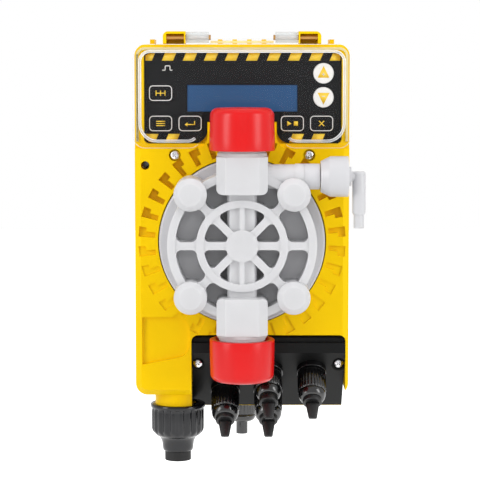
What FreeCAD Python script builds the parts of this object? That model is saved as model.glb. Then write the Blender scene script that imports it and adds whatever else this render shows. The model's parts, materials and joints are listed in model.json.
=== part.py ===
import FreeCAD, Part
import math
import os
import re

import Sketcher
from FreeCAD import Placement, Rotation, Vector

# Diaphragm metering pump for hanging on a wall.
# Origin: on the wall, where the axis of the pump head meets it. X right, Z up, the front looks along -Y.
# A depth is a distance from the wall towards the front, so y = -depth. A drop is a distance below the axis.

doc = FreeCAD.newDocument("metering_pump")

SIZES = {
    # Housing shells
    "housing_half": 62.7, "housing_top": 115.0, "ledge_drop": 91.3, "foot_drop": 103.6,
    "rear_depth": 58.0, "seal_thick": 2.0,
    "front_depth": 100.0, "corner_round": 7.0, "front_edge": 3.5, "wall": 4.0,
    "front_wall": 16.0, "gasket_inset": 0.8,
    # Through holes for the wall screws, and the screws that hold the shells together
    "wall_hole_edge": 6.2, "wall_hole_height": 44.5, "wall_hole_radius": 2.5, "boss_wall": 2.2,
    "case_screw_side": 39.2, "case_screw_height": 50.5, "case_screw_radius": 1.6,
    "case_screw_head": 3.15, "screw_head_thick": 2.2, "case_screw_sink": 2.6,
    "case_screw_bite": 13.0, "case_screw_drop": 83.6, "case_screw_edge": 10.0,
   
    # Recessed scoop at the lower left
    "scoop_edge": 4.1, "scoop_right": 30.7, "scoop_top": 44.7, "scoop_bottom": 72.9,
    "scoop_slope": 5.6, "scoop_round": 8.0, "scoop_deep": 2.0,
    # Bay of the controls, with the arch that leaves room for the discharge cap
    "bay_deep": 5.0, "bay_bottom": 54.3, "seat_deep": 5.0, "boss_arch_half": 20.2,
    "boss_arch_top": 69.5, "arch_round": 8.5, "arch_flare": 7.0, "panel_gap": 0.3,
    # Control panel and what shows in it
    "panel_edge": 4.7, "panel_bottom": 57.3, "panel_top": 110.2,
    "panel_thick": 2.0, "panel_round": 3.0, "lcd_left": 32.2, "lcd_right": 32.5,
    "lcd_bottom": 75.5, "lcd_top": 91.3, "lcd_gap": 0.2, "lcd_sink": 0.4, "lcd_frame": 3.6,
    "key_gap": 0.25, "key_proud": 0.4, "key_flange": 1.0, "key_flange_gap": 0.1,
    "key_travel": 0.5, "round_key": 5.9, "round_key_side": 47.6, "up_key_height": 98.0,
    "down_key_height": 84.0, "key_wide": 13.8, "key_tall": 9.3,
    "board_thick": 1.6, "switch_half": 3.0, "switch_gap": 0.2,
    # Clear cover and its hinge
    "cover_wider": 1.0, "cover_bottom": 54.4, "cover_proud": 1.0, "cover_wall": 1.8,
    "flange_thick": 2.0, "cover_seal_thick": 1.0, "cover_seal_wide": 1.5,
    "cover_seal_round": 5.2, "flange_wide": 3.4,
    "cover_round": 7.0, "dome_round": 11.0, "arch_wider": 3.3, "cover_arch_top": 81.5,
    "cover_arch_round": 9.0, "arch_lip": 1.2,
    "hinge_height": 118.8, "knuckle_radius": 3.2, "pin_radius": 1.5,
    "pin_fit": 0.08, "block_inner": 32.9, "block_outer": 46.0, "knuckle_inner": 19.1,
    "knuckle_gap": 0.3, "block_top": 122.3, "block_behind": 9.0, "block_ahead": 3.6,
    "block_wall": 2.0, "block_web": 0.8, "block_roof": 1.4, "block_round": 3.0, "block_gap": 0.4, "pin_proud": 0.9, "pull_bar_half": 18.7,
    "pull_bar_top": 118.0, "rib_pitch": 8.6, "rib_half": 1.3, "rib_tall": 2.7,
    "rib_long": 34.0, "rib_ahead": 10.0, "outer_rib_edge": 10.2,
    # Opening for the pump head, with the fins round it
    "opening_radius": 49.2, "opening_deep": 11.0, "fin_lip": 1.7, "fin_long": 11.4,
    "fin_gap_half": 2.7, "fin_flare": 0.4, "fin_step": 0.3, "fin_deep": 6.0, "fin_shallow": 0.8, "fin_count": 32,
    # Solenoid
    "yoke_radius": 33.0, "yoke_back": 22.0, "yoke_plate_half": 36.0, "yoke_plate": 5.0,
    "end_cap_thick": 4.0, "bobbin_bore": 12.2, "bobbin_wall": 1.3, "bobbin_flange": 2.0,
    "coil_radius": 29.5, "yoke_wall": 3.0, "armature_gap": 0.4, "armature_back": 28.0,
    "pole_gap": 1.6, "pole_deep": 8.2, "spring_pocket": 7.6, "bush_sink": 2.0,
    "spring_radius": 6.1, "spring_wire": 0.7, "spring_turns": 3,
    "rod_radius": 4.0, "rod_bite": 12.8, "core_deep": 4.5, "rod_fit": 0.06,
    "bush_radius": 7.0, "bush_proud": 4.5,
    # Back plate and diaphragm
    "plate_gap": 0.7, "plate_thick": 14.0, "plate_web": 5.0, "membrane_radius": 34.0,
    "membrane_thick": 2.0, "membrane_fit": 0.2, "core_radius": 11.0, "chamber_radius": 26.0,
    "chamber_deep": 2.5, "chamber_floor": 12.0,
    # Pump head
    "head_radius": 42.8, "head_thick": 26.0, "head_web": 9.0, "rim_inner": 38.2,
    "ring_outer": 26.3, "ring_inner": 22.0, "hub_radius": 9.2, "spoke_half": 2.25,
    "column_radius": 8.6, "column_sink": 2.6, "rib_slim": 1.4, "valve_ahead": 18.5, "valve_half": 14.6, "valve_chamfer": 5.0,
    "valve_start": 29.7, "valve_long": 21.3, "collar_radius": 14.2, "neck_radius": 13.4,
    "collar_long": 2.0, "neck_long": 1.6, "channel_radius": 3.0, "channel_height": 15.0,
    "bolt_side": 29.5, "boss_radius": 9.5, "bolt_radius": 2.5, "bolt_clear": 0.25,
    "bolt_head_radius": 4.25, "bolt_head_tall": 5.0, "bolt_sink": 8.0, "bolt_reach": 26.0,
    "cap_tall": 6.0, "cap_flat": 6.5, "cap_edge_tall": 2.8, "cap_plug": 4.9,
    "cap_plug_deep": 1.6, "plug_fit": 0.1,
    # Valves
    "valve_bore": 9.2, "valve_floor": 32.2, "valve_seal_thick": 1.0, "valve_fit": 0.1,
    "port_radius": 12.4, "port_long": 13.4, "seat_hole": 3.2, "ball_radius": 4.75,
    "cage_radius": 5.7, "seat_drop": 5.0, "cage_tall": 12.0, "seat_gap": 0.02,
    # Red caps of the ports
    "cap_radius": 18.7, "cap_overlap": 0.3, "cap_long": 24.5, "cap_taper": 0.7, "cap_soft": 4.5,
    "cap_mouth": 15.6, "cap_mouth_deep": 7.0, "port_cap_fit": 0.2, "cap_top": 3.4,
    # Bleed valve
    "bleed_height": 39.4, "bleed_spigot": 4.2, "bleed_spigot_long": 4.0, "bleed_tube": 7.0,
    "bleed_shoulder": 30.2, "bleed_branch": 5.3, "bleed_union": 7.4, "union_long": 8.9,
    "spindle_radius": 4.0, "spindle_fit": 0.08, "spindle_room": 1.5,
    "bleed_clear": 0.3, "knob_gap": 0.4, "knob_neck": 8.8,
    "knob_flare": 5.7, "knob_radius": 11.6, "knob_long": 10.2, "knob_disc": 5.6,
    "knob_disc_tall": 1.7, "bleed_bore": 1.5, "nozzle_gap": 0.65, "nozzle_radius": 3.85,
    "nozzle_above": 2.9, "nozzle_arm": 20.8, "nozzle_drop": 29.6, "nozzle_tip_radius": 3.0,
    "nozzle_bore": 1.8, "nozzle_spigot": 3.0, "spigot_deep": 5.7,
    # Terminal cover at the bottom
    "terminal_left": 29.5, "terminal_edge": 2.1, "terminal_top": 55.6, "flange_deep": 3.0,
    "band_drop": 60.0, "band_back": 3.0, "brow_back": 0.4, "slope_drop": 65.8,
    "slope_proud": 0.6, "slope_angle": 45.0, "terminal_wall": 2.5, "terminal_gap": 0.3,
    "terminal_round": 2.5, "terminal_side_round": 3.6, "terminal_screw_edge": 3.4,
    "terminal_screw_drop": 73.0, "terminal_screw_head": 3.0, "terminal_screw_hole": 3.6,
    "terminal_sink": 9.0, "terminal_screw_radius": 1.5, "terminal_bite": 2.0,
    # Signal glands
    "gland_upper_row": 15.7, "gland_lower_row": 34.5, "gland_pitch": 25.6, "gland_middle": 15.6,
    "gland_shank": 5.9, "gland_shank_fit": 0.1, "gland_shank_long": 5.0, "gland_flange": 8.75,
    "gland_flange_tall": 3.5, "gland_thread": 6.8, "gland_thread_end": 12.0, "gland_bore": 3.4,
    "gland_nut_start": 4.0, "gland_nut_radius": 8.4, "gland_nut_shoulder": 16.6,
    "gland_nut_end": 20.4, "gland_nut_tip": 5.9, "gland_fit": 0.1,
    "plug_start": 8.0, "plug_disc_start": 20.4, "plug_disc_end": 23.5, "plug_disc": 5.6,
    "plug_tip_end": 35.9, "plug_tip": 1.7, "plug_wing_half": 3.75, "plug_wing_thick": 1.3,
    "rear_gland_depth": 30.0, "rear_nut_radius": 9.1, "rear_gland_more": 7.5, "rear_plug": 3.6,
    # Power gland
    "power_side": 38.4, "power_back": 18.5, "power_boss": 13.5, "power_boss_end": 98.7,
    "power_nut": 16.3, "power_nut_end": 115.9, "power_nut_step": 14.4, "power_step_end": 121.6,
    "power_tip": 10.4, "power_tip_end": 127.2, "power_body": 8.9, "power_body_start": 86.0,
    "power_body_end": 111.5, "power_bore": 6.6, "power_seal": 7.8, "power_seal_end": 133.0,
    "power_cable": 4.2, "power_fit": 0.1, "power_flare": 1.0, "nut_rib_count": 20,
    "nut_rib_groove": 1.1,
}

# Places that follow from other sizes and a named clearance
PLACES = {
    "seal_depth": "rear_depth + seal_thick",
    "bay_depth": "front_depth - bay_deep",
    "bay_floor": "bay_depth - seat_deep",
    "board_bay_deep": "front_depth - front_wall",
    "panel_depth": "bay_floor + panel_thick",
    "cover_depth": "front_depth + cover_proud",
    "hinge_depth": "bay_depth",
    "block_back": "hinge_depth - block_behind",
    "block_front": "hinge_depth + block_ahead",
    "rib_back": "front_depth - rib_long",
    "rib_front": "front_depth - rib_ahead",
    "opening_floor": "front_depth - opening_deep",
    "plate_front": "opening_floor + plate_thick",
    "head_front": "plate_front + head_thick",
    "head_floor": "plate_front + head_web",
    "valve_depth": "plate_front + valve_ahead",
    "bolt_seat": "head_front - bolt_sink",
    "bolt_end": "front_depth - bolt_reach",
    "cap_front": "head_front + cap_tall",
    "cap_edge": "head_front + cap_edge_tall",
    "pole_face": "front_depth - front_wall - yoke_plate - pole_deep",
    "spring_floor": "front_depth - front_wall - yoke_plate - bush_sink",
    "rod_back": "pole_face - rod_bite",
    "rod_front": "plate_front - core_deep",
    "bush_front": "opening_floor + bush_proud",
    "terminal_back": "seal_depth + flange_deep",
    "band_depth": "front_depth - band_back",
    "brow_depth": "front_depth - brow_back",
    "slope_depth": "front_depth + slope_proud",
    "terminal_screw_seat": "front_depth - terminal_sink",
    "terminal_screw_end": "terminal_back - terminal_bite",
    "power_depth": "front_depth - power_back",
    "cover_half": "housing_half + cover_wider",
    "panel_left": "housing_half - panel_edge - 1",
    "panel_right": "housing_half - panel_edge",
    "wall_hole_side": "housing_half - wall_hole_edge",
    "outer_rib_side": "housing_half - outer_rib_edge",
    "scoop_left": "housing_half - scoop_edge",
    "terminal_right": "housing_half - terminal_edge",
    "foot_left": "terminal_left",
    "foot_right": "terminal_right",
    "terminal_screw_left": "terminal_left - terminal_screw_edge",
    "terminal_screw_right": "terminal_right - terminal_screw_edge",
    "case_screw_low_left": "terminal_left - case_screw_edge",
    "case_screw_low_right": "terminal_right - case_screw_edge",
    "fin_outer": "opening_radius + fin_long",
    "fin_middle": "opening_radius + fin_long * 0.62",
    "fin_inner": "opening_radius + fin_lip",
    "plate_radius": "opening_radius - plate_gap",
    "bleed_split": "bleed_shoulder + bleed_branch",
    "bleed_end": "bleed_split + union_long",
    "spindle_start": "bleed_split + spindle_room + 1",
    "knob_start": "bleed_end + knob_gap",
    "knob_shoulder": "knob_start + knob_flare",
    "knob_end": "knob_shoulder + knob_long",
    "knob_disc_end": "knob_end + knob_disc_tall",
    "nozzle_side": "knob_disc_end + nozzle_radius + nozzle_gap",
    "nozzle_spigot_start": "knob_end - spigot_deep",
    "nozzle_top": "bleed_height + nozzle_above",
    "nozzle_neck": "bleed_height - nozzle_arm",
    "nozzle_tip": "bleed_height - nozzle_drop",
    "valve_end": "valve_start + valve_long",
    "collar_end": "valve_end + collar_long",
    "neck_end": "collar_end + neck_long",
    "port_end": "neck_end + port_long",
    "cap_start": "neck_end - cap_overlap",
    "cap_end": "cap_start + cap_long",
    "cover_arch_half": "boss_arch_half + arch_wider",
    "knuckle_outer": "block_inner - knuckle_gap",
    "pin_inner": "knuckle_inner - pin_proud",
}

sheet = doc.addObject("Spreadsheet::Sheet", "sizes")
for row, (word, value) in enumerate(SIZES.items(), 1):
    sheet.set("A%d" % row, word)
    sheet.set("B%d" % row, str(value))
    sheet.setAlias("B%d" % row, word)
doc.recompute()

NODES = []
COUNT = {}

TURN = {
    "up": Rotation(),
    "down": Rotation(Vector(1, 0, 0), 180),
    "front": Rotation(Vector(1, 0, 0), 90),
    "right": Rotation(Vector(0, 1, 0), 90),
    "slope": Rotation(Vector(1, 0, 0), 135),
}


# Helpers

def bind(item, prop, formula):
    """Ties a property to the sheet: places are spelled out, and every word that is a size becomes its cell."""
    formula = str(formula)
    while any(word in PLACES for word in re.findall(r"[a-z_]+", formula)):
        formula = re.sub(r"[a-z_]+", lambda w: "(%s)" % PLACES[w[0]] if w[0] in PLACES else w[0], formula)
    formula = re.sub(r"[a-z_]+", lambda w: "sizes." + w[0] if w[0] in SIZES else w[0], formula)
    item.setExpression(prop, formula)


def fresh(stem):
    COUNT[stem] = COUNT.get(stem, 0) + 1
    return "%s_%d" % (stem, COUNT[stem])


def place(item, at, way="up"):
    """Puts an item at (x, depth, height), with its own Z axis pointing the given way."""
    across, depth, height = at
    item.Placement = Placement(Vector(), TURN[way])
    bind(item, "Placement.Base.x", across)
    bind(item, "Placement.Base.y", "-(%s)" % depth)
    bind(item, "Placement.Base.z", height)
    if way == "slope":
        bind(item, "Placement.Rotation.Angle", "180 - slope_angle")
    return item


def rod(radius, length, at, way):
    item = doc.addObject("Part::Cylinder", fresh("rod"))
    bind(item, "Radius", radius)
    bind(item, "Height", length)
    return place(item, at, way)


def cone(first, last, length, at, way):
    item = doc.addObject("Part::Cone", fresh("cone"))
    bind(item, "Radius1", first)
    bind(item, "Radius2", last)
    bind(item, "Height", length)
    return place(item, at, way)


def block(across, depths, heights):
    """A box between two x, two depths and two heights."""
    item = doc.addObject("Part::Box", fresh("block"))
    bind(item, "Length", "(%s) - (%s)" % (across[1], across[0]))
    bind(item, "Width", "(%s) - (%s)" % (depths[1], depths[0]))
    bind(item, "Height", "(%s) - (%s)" % (heights[1], heights[0]))
    return place(item, (across[0], depths[1], heights[0]))


def fuse(*items):
    item = doc.addObject("Part::MultiFuse", fresh("fuse"))
    item.Shapes = list(items)
    item.Refine = True
    return item


def common(first, second):
    item = doc.addObject("Part::Common", fresh("common"))
    item.Base = first
    item.Tool = second
    return item


def cut(base, *tools):
    item = doc.addObject("Part::Cut", fresh("cut"))
    item.Base = base
    item.Tool = fuse(*tools) if len(tools) > 1 else tools[0]
    return item


def group(*items):
    item = doc.addObject("Part::Compound", fresh("group"))
    item.Links = list(items)
    return item


def sketch_on(body, role, level):
    sketch = body.newObject("Sketcher::SketchObject", fresh("sketch"))
    plane = [part for part in body.Origin.OriginFeatures if part.Role == role][0]
    sketch.AttachmentSupport = [(plane, "")]
    sketch.MapMode = "FlatFace"
    bind(sketch, "AttachmentOffset.Base.z", level)
    return sketch


def draw_polygon(sketch, corners):
    """A closed outline whose corners are (across, up) formulas."""
    first = sketch.GeometryCount
    count = len(corners)
    start = [Vector(math.cos(n), math.sin(n), 0) for n in range(count)]
    for n in range(count):
        sketch.addGeometry(Part.LineSegment(start[n], start[(n + 1) % count]), False)
    for n in range(count):
        sketch.addConstraint(Sketcher.Constraint("Coincident", first + n, 2, first + (n + 1) % count, 1))
    for n, (across, up) in enumerate(corners):
        for kind, formula in (("DistanceX", across), ("DistanceY", up)):
            made = sketch.addConstraint(Sketcher.Constraint(kind, -1, 1, first + n, 1, 1.0 + n))
            bind(sketch, "Constraints[%d]" % made, formula)


def draw_circle(sketch, across, up, radius):
    made = sketch.addGeometry(Part.Circle(Vector(1, 1, 0), Vector(0, 0, 1), 1), False)
    for kind, formula in (("DistanceX", across), ("DistanceY", up)):
        number = sketch.addConstraint(Sketcher.Constraint(kind, -1, 1, made, 3, 1.0))
        bind(sketch, "Constraints[%d]" % number, formula)
    number = sketch.addConstraint(Sketcher.Constraint("Radius", made, 1.0))
    bind(sketch, "Constraints[%d]" % number, radius)


def new_body():
    return doc.addObject("PartDesign::Body", fresh("body"))


def extrude(body, kind, start, end, polygons=(), circles=(), role="XZ_Plane"):
    """Pads from start to end, or pockets that span, measured along the normal of the plane."""
    sketch = sketch_on(body, role, start if kind == "Pad" else end)
    for corners in polygons:
        draw_polygon(sketch, corners)
    for circle in circles:
        draw_circle(sketch, *circle)
    feature = body.newObject("PartDesign::" + kind, fresh("feature"))
    feature.Profile = sketch
    bind(feature, "Length", "(%s) - (%s)" % (end, start))
    body.Tip = feature
    return sketch


def round_corners(body, sketch, corners, radius):
    """Fillets the edges that rise from the numbered corners of a sketch."""
    doc.recompute()
    shape = body.Tip.Shape
    upright = sketch.Placement.Rotation.multVec(Vector(0, 0, 1))
    names = []
    for corner in corners:
        point = sketch.Placement.multVec(sketch.Geometry[corner].StartPoint)
        for number, edge in enumerate(shape.Edges, 1):
            if not isinstance(edge.Curve, Part.Line):
                continue
            along = edge.Curve.Direction
            offset = edge.Vertexes[0].Point - point
            if along.cross(upright).Length < 1e-6 and offset.cross(upright).Length < 1e-4:
                names.append("Edge%d" % number)
    dress(body, "Fillet", names, "Radius", radius)


def dress(body, kind, names, prop, size):
    base = body.Tip
    feature = body.newObject("PartDesign::" + kind, fresh("dress"))
    feature.Base = (base, names)
    bind(feature, prop, size)
    body.Tip = feature
    return feature


def edges_at_depth(body, depth):
    """Edges of the tip that lie in one plane in front of the wall."""
    doc.recompute()
    names = []
    for number, edge in enumerate(body.Tip.Shape.Edges, 1):
        box = edge.BoundBox
        if abs(box.YMin + depth) < 1e-4 and abs(box.YMax + depth) < 1e-4:
            names.append("Edge%d" % number)
    return names


def turned(profile, at=("0", "0", "0"), way="up"):
    """A body of revolution from (radius, height) corners, standing at a place and pointing a way."""
    body = new_body()
    sketch = sketch_on(body, "XZ_Plane", "0")
    draw_polygon(sketch, profile)
    feature = body.newObject("PartDesign::Revolution", fresh("turn"))
    feature.Profile = sketch
    feature.ReferenceAxis = (sketch, ["V_Axis"])
    feature.Angle = 360
    body.Tip = feature
    return place(body, at, way)


def tube(outer, inner, start, end, at=("0", "0", "0"), way="front"):
    return turned([(inner, start), (outer, start), (outer, end), (inner, end)], at, way)


def disc(radius, start, end, at=("0", "0", "0"), way="front"):
    return turned([("0", start), (radius, start), (radius, end), ("0", end)], at, way)


def node(name, item):
    item.Label = name
    NODES.append(item)
    return item


# Housing

def shell_outline(amount):
    """The main outline of the housing, drawn in by an amount."""
    left, right = "-housing_half + %s" % amount, "housing_half - %s" % amount
    low, high = "-ledge_drop + %s" % amount, "housing_top - %s" % amount
    return [(left, low), (right, low), (right, high), (left, high)]


def foot_outline():
    """The flange that reaches further down behind the terminal cover."""
    return [("-foot_left", "-foot_drop"), ("foot_right", "-foot_drop"),
            ("foot_right", "-ledge_drop + corner_round"), ("-foot_left", "-ledge_drop + corner_round")]


def shell_form(start, end, amount):
    body = new_body()
    sketch = extrude(body, "Pad", start, end, [shell_outline(amount)])
    round_corners(body, sketch, (0, 1, 2, 3), "corner_round - %s" % amount)
    return body


SCREW_SPOTS = [
    ("-case_screw_side", "case_screw_height", "front_depth - case_screw_sink"),
    ("case_screw_side", "case_screw_height", "front_depth - case_screw_sink"),
    ("-case_screw_low_left", "-case_screw_drop", "terminal_back"),
    ("case_screw_low_right", "-case_screw_drop", "terminal_back"),
]
WALL_SPOTS = [("-wall_hole_side", "wall_hole_height"), ("wall_hole_side", "wall_hole_height")]
SIDES = ("-", "")


def housing_bosses(start, end):
    length = "(%s) - (%s)" % (end, start)
    tall = [rod("case_screw_radius + boss_wall", length, (x, start, z), "front") for x, z, _ in SCREW_SPOTS]
    wide = [rod("wall_hole_radius + boss_wall", length, (x, start, z), "front") for x, z in WALL_SPOTS]
    return tall + wide


def screw_holes(start, end):
    length = "(%s) - (%s)" % (end, start)
    return [rod("case_screw_radius", length, (x, start, z), "front") for x, z, _ in SCREW_SPOTS]


def wall_holes():
    return [rod("wall_hole_radius", "front_depth + 2", (x, "-1", z), "front") for x, z in WALL_SPOTS]


def rear_housing():
    body = shell_form("0", "rear_depth", "0")
    extrude(body, "Pocket", "wall", "rear_depth + 1", [shell_outline("wall")])
    shell = fuse(body, *housing_bosses("wall - 1", "rear_depth"))
    gland = rod("gland_shank + gland_shank_fit", "wall + 2",
                ("0", "rear_gland_depth", "-ledge_drop + wall + 1"), "down")
    return node("rear_housing", cut(shell, gland, *wall_holes(),
                                    *screw_holes("rear_depth - case_screw_bite", "rear_depth + 1")))


def housing_gasket():
    body = shell_form("rear_depth", "seal_depth", "gasket_inset")
    extrude(body, "Pocket", "rear_depth - 1", "seal_depth + 1", [shell_outline("wall")])
    length = "seal_depth - rear_depth"
    eyes = [rod("case_screw_radius + boss_wall", length, (x, "rear_depth", z), "front")
            for x, z, _ in SCREW_SPOTS[2:]]
    bores = screw_holes("rear_depth - 1", "seal_depth + 1")[2:]
    return node("housing_gasket", cut(fuse(body, *eyes), *wall_holes(), *bores))


def arch_bay(left, right, bottom, top, half, arch_top):
    """A rectangle with an arch let into its lower edge."""
    return [(left, bottom), ("-(%s)" % half, bottom), ("-(%s)" % half, arch_top), (half, arch_top),
            (half, bottom), (right, bottom), (right, top), (left, top)]


def fin_pockets():
    """Gaps between the fins: one gap turned round the head axis, cut off by a leaning floor."""
    body = new_body()
    sketch = sketch_on(body, "XZ_Plane", "front_depth - fin_deep - 1")
    turn = "180 / fin_count"
    draw_polygon(sketch, [("fin_inner", "-fin_step"), ("fin_middle", "-fin_step"),
                          ("fin_middle", "-fin_gap_half"), ("fin_outer", "-fin_gap_half - fin_flare"),
                          ("fin_outer", "fin_gap_half + fin_flare"), ("fin_inner", "fin_gap_half")])
    bind(sketch, "AttachmentOffset.Rotation.Angle", turn)
    pad = body.newObject("PartDesign::Pad", fresh("feature"))
    pad.Profile = sketch
    bind(pad, "Length", "fin_deep + 3")
    pattern = body.newObject("PartDesign::PolarPattern", fresh("pattern"))
    pattern.Originals = [pad]
    axis = [part for part in body.Origin.OriginFeatures if part.Role == "Y_Axis"][0]
    pattern.Axis = (axis, [""])
    pattern.Angle = 360
    bind(pattern, "Occurrences", "fin_count")
    body.Tip = pattern
    lean = new_body()
    reach = "fin_outer + 1"
    extrude(lean, "Pad", "-fin_outer - 1", reach, role="YZ_Plane", polygons=[[
        ("-front_depth - 1", "-(%s)" % reach), ("-front_depth + fin_shallow", "-(%s)" % reach),
        ("-front_depth + fin_shallow", "-fin_outer / 4"), ("-front_depth + fin_deep", "fin_outer / 2"),
        ("-front_depth + fin_deep", reach), ("-front_depth - 1", reach)]])
    return common(body, lean)


def front_housing():
    body = shell_form("seal_depth", "front_depth", "0")
    dress(body, "Chamfer", edges_at_depth(body, SIZES["front_depth"]), "Size", "front_edge")
    extrude(body, "Pad", "seal_depth", "terminal_back", [foot_outline()])
    bay = extrude(body, "Pocket", "bay_depth", "front_depth + 1", [arch_bay(
        "-housing_half - 1", "housing_half + 1", "bay_bottom", "housing_top + 1",
        "boss_arch_half", "boss_arch_top")])
    round_corners(body, bay, (2, 3), "arch_round")
    round_corners(body, bay, (1, 4), "arch_flare")
    seat = extrude(body, "Pocket", "bay_floor", "bay_depth", [arch_bay(
        "-panel_left - panel_gap", "panel_right + panel_gap", "panel_bottom - panel_gap",
        "panel_top + panel_gap", "boss_arch_half", "boss_arch_top")])
    round_corners(body, seat, (0, 5, 6, 7), "panel_round")
    extrude(body, "Pocket", "board_bay_deep - 1", "bay_floor", [arch_bay(
        "-panel_left + 0.8", "panel_right - 3", "panel_bottom + 5", "panel_top - 4.5",
        "boss_arch_half + 1", "boss_arch_top + 2")])
    scoop = extrude(body, "Pocket", "front_depth - scoop_deep", "front_depth", [[
        ("-scoop_left", "-scoop_top"), ("-scoop_left", "-scoop_bottom"),
        ("-scoop_right", "-scoop_bottom + scoop_slope"), ("-scoop_right", "-scoop_top")]])
    round_corners(body, scoop, (2, 3), "scoop_round")
    notch = extrude(body, "Pocket", "terminal_back", "front_depth + 1", [[
        ("-terminal_left - terminal_gap", "-terminal_top + terminal_gap"),
        ("terminal_right + terminal_gap", "-terminal_top + terminal_gap"),
        ("terminal_right + terminal_gap", "-foot_drop - 1"),
        ("-terminal_left - terminal_gap", "-foot_drop - 1")]])
    round_corners(body, notch, (0, 1), "terminal_side_round + terminal_gap")
    extrude(body, "Pocket", "seal_depth - 1", "front_depth - front_wall", [[
        ("-housing_half + wall", "-terminal_top + wall"), ("housing_half - wall", "-terminal_top + wall"),
        ("housing_half - wall", "housing_top - wall"), ("-housing_half + wall", "housing_top - wall")]])
    extrude(body, "Pocket", "opening_floor", "front_depth", circles=[("0", "0", "opening_radius")])
    extrude(body, "Pocket", "front_depth - front_wall - 1", "opening_floor",
            circles=[("0", "0", "bush_radius + 0.5")] +
            [(a + "bolt_side", b + "bolt_side", "bolt_radius + bolt_clear") for a in SIDES for b in SIDES])
    boss = rod("power_boss", "power_boss_end - ledge_drop + 3",
               ("-power_side", "power_depth", "-ledge_drop + 3"), "down")
    boss = cut(boss, block(("-terminal_left - terminal_gap", "0"), ("terminal_back", "front_depth + 3"),
                           ("-power_boss_end - 1", "-ledge_drop + 4")))
    hinge_blocks, hinge_recesses = [], []
    for side in SIDES:
        inner, outer = (("-block_outer", "-block_inner"), ("block_inner", "block_outer"))[side == ""]
        hinge_block = new_body()
        outline = extrude(hinge_block, "Pad", "block_back", "block_front", [[
            (inner, "housing_top + block_gap"), (outer, "housing_top + block_gap"),
            (outer, "block_top"), (inner, "block_top")]])
        round_corners(hinge_block, outline, (3 if side else 2,), "block_round")
        hinge_blocks.append(hinge_block)
        hinge_blocks.append(block((inner, outer), ("block_back", "bay_depth"),
                                  ("housing_top - 1", "block_top - block_round - 1")))
        walls = ("block_wall", "block_web") if side else ("block_web", "block_wall")
        hinge_recesses.append(block((inner + " + " + walls[0], outer + " - " + walls[1]),
                                    ("block_back + block_wall", "block_front + 1"),
                                    ("housing_top", "block_top - block_roof")))
    ribs = [block((x + " - rib_half", x + " + rib_half"), ("rib_back", "rib_front"),
                  ("housing_top - 1", "housing_top + rib_tall"))
            for x in ("-rib_pitch * 1.5", "-rib_pitch * 0.5", "rib_pitch * 0.5", "rib_pitch * 1.5",
                      "-outer_rib_side", "outer_rib_side")]
    sinks = [rod("case_screw_head + 0.3", "case_screw_sink + 1", (x, d, z), "front")
             for x, z, d in SCREW_SPOTS[:2]]
    pins = rod("pin_radius", "2 * block_outer + 2", ("-block_outer - 1", "hinge_depth", "hinge_height"), "right")
    entry = rod("power_body + power_fit", "power_boss_end - power_body_start + 2",
                ("-power_side", "power_depth", "-power_body_start"), "down")
    threads = [rod("terminal_screw_radius", "terminal_back - seal_depth + 2",
                   (x, "seal_depth - 1", "-terminal_screw_drop"), "front")
               for x in ("-terminal_screw_left", "terminal_screw_right")]
    shell = fuse(body, boss, *hinge_blocks, *ribs, *housing_bosses("seal_depth", "front_depth - front_wall + 1")[:2],
                 *housing_bosses("seal_depth", "front_depth - front_wall + 1")[4:])
    return node("front_housing", cut(shell, fin_pockets(), pins, entry, *hinge_recesses, *sinks, *threads,
                                     *wall_holes(), *screw_holes("seal_depth - 1", "front_depth + 1")))


def screw(at, head, shank, head_thick, length):
    """Pan head towards the front, shank towards the wall. Its place is the underside of the head."""
    return turned([("0", "-(%s)" % length), (shank, "-(%s)" % length), (shank, "0"), (head, "0"),
                   (head, "%s * 0.6" % head_thick), ("%s * 0.75" % head, head_thick), ("0", head_thick)],
                  at, "front")


def case_screws():
    made = [screw((x, d, z), "case_screw_head", "case_screw_radius", "screw_head_thick",
                  "%s - rear_depth + case_screw_bite" % d) for x, z, d in SCREW_SPOTS]
    return node("case_screws", group(*made))


# Controls

KEYS = {
    "key_calibrate": ("-47.65", "86.4"), "key_program": ("-47.65", "68.7"), "key_mode": ("-30.4", "68.7"),
    "key_start": ("29.4", "68.7"), "key_escape": ("46.55", "68.7"),
}
ROUND_KEYS = {
    "key_up": ("round_key_side", "up_key_height"), "key_down": ("round_key_side", "down_key_height"),
}


def rectangle(x, z, grow):
    left, right = "%s - key_wide / 2 - (%s)" % (x, grow), "%s + key_wide / 2 + (%s)" % (x, grow)
    low, high = "%s - key_tall / 2 - (%s)" % (z, grow), "%s + key_tall / 2 + (%s)" % (z, grow)
    return [(left, low), (right, low), (right, high), (left, high)]


def control_panel():
    body = new_body()
    sketch = extrude(body, "Pad", "bay_floor", "panel_depth", [arch_bay(
        "-panel_left", "panel_right", "panel_bottom", "panel_top",
        "boss_arch_half + panel_gap", "boss_arch_top + panel_gap")])
    round_corners(body, sketch, (0, 5, 6, 7), "panel_round")
    round_corners(body, sketch, (1, 4), "arch_flare")
    window = [("-lcd_left", "lcd_bottom"), ("lcd_right", "lcd_bottom"),
              ("lcd_right", "lcd_top"), ("-lcd_left", "lcd_top")]
    extrude(body, "Pocket", "bay_floor - 1", "panel_depth",
            [window] + [rectangle(x, z, "key_gap") for x, z in KEYS.values()],
            [(x, z, "round_key + key_gap") for x, z in ROUND_KEYS.values()])
    return node("control_panel", body)


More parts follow.
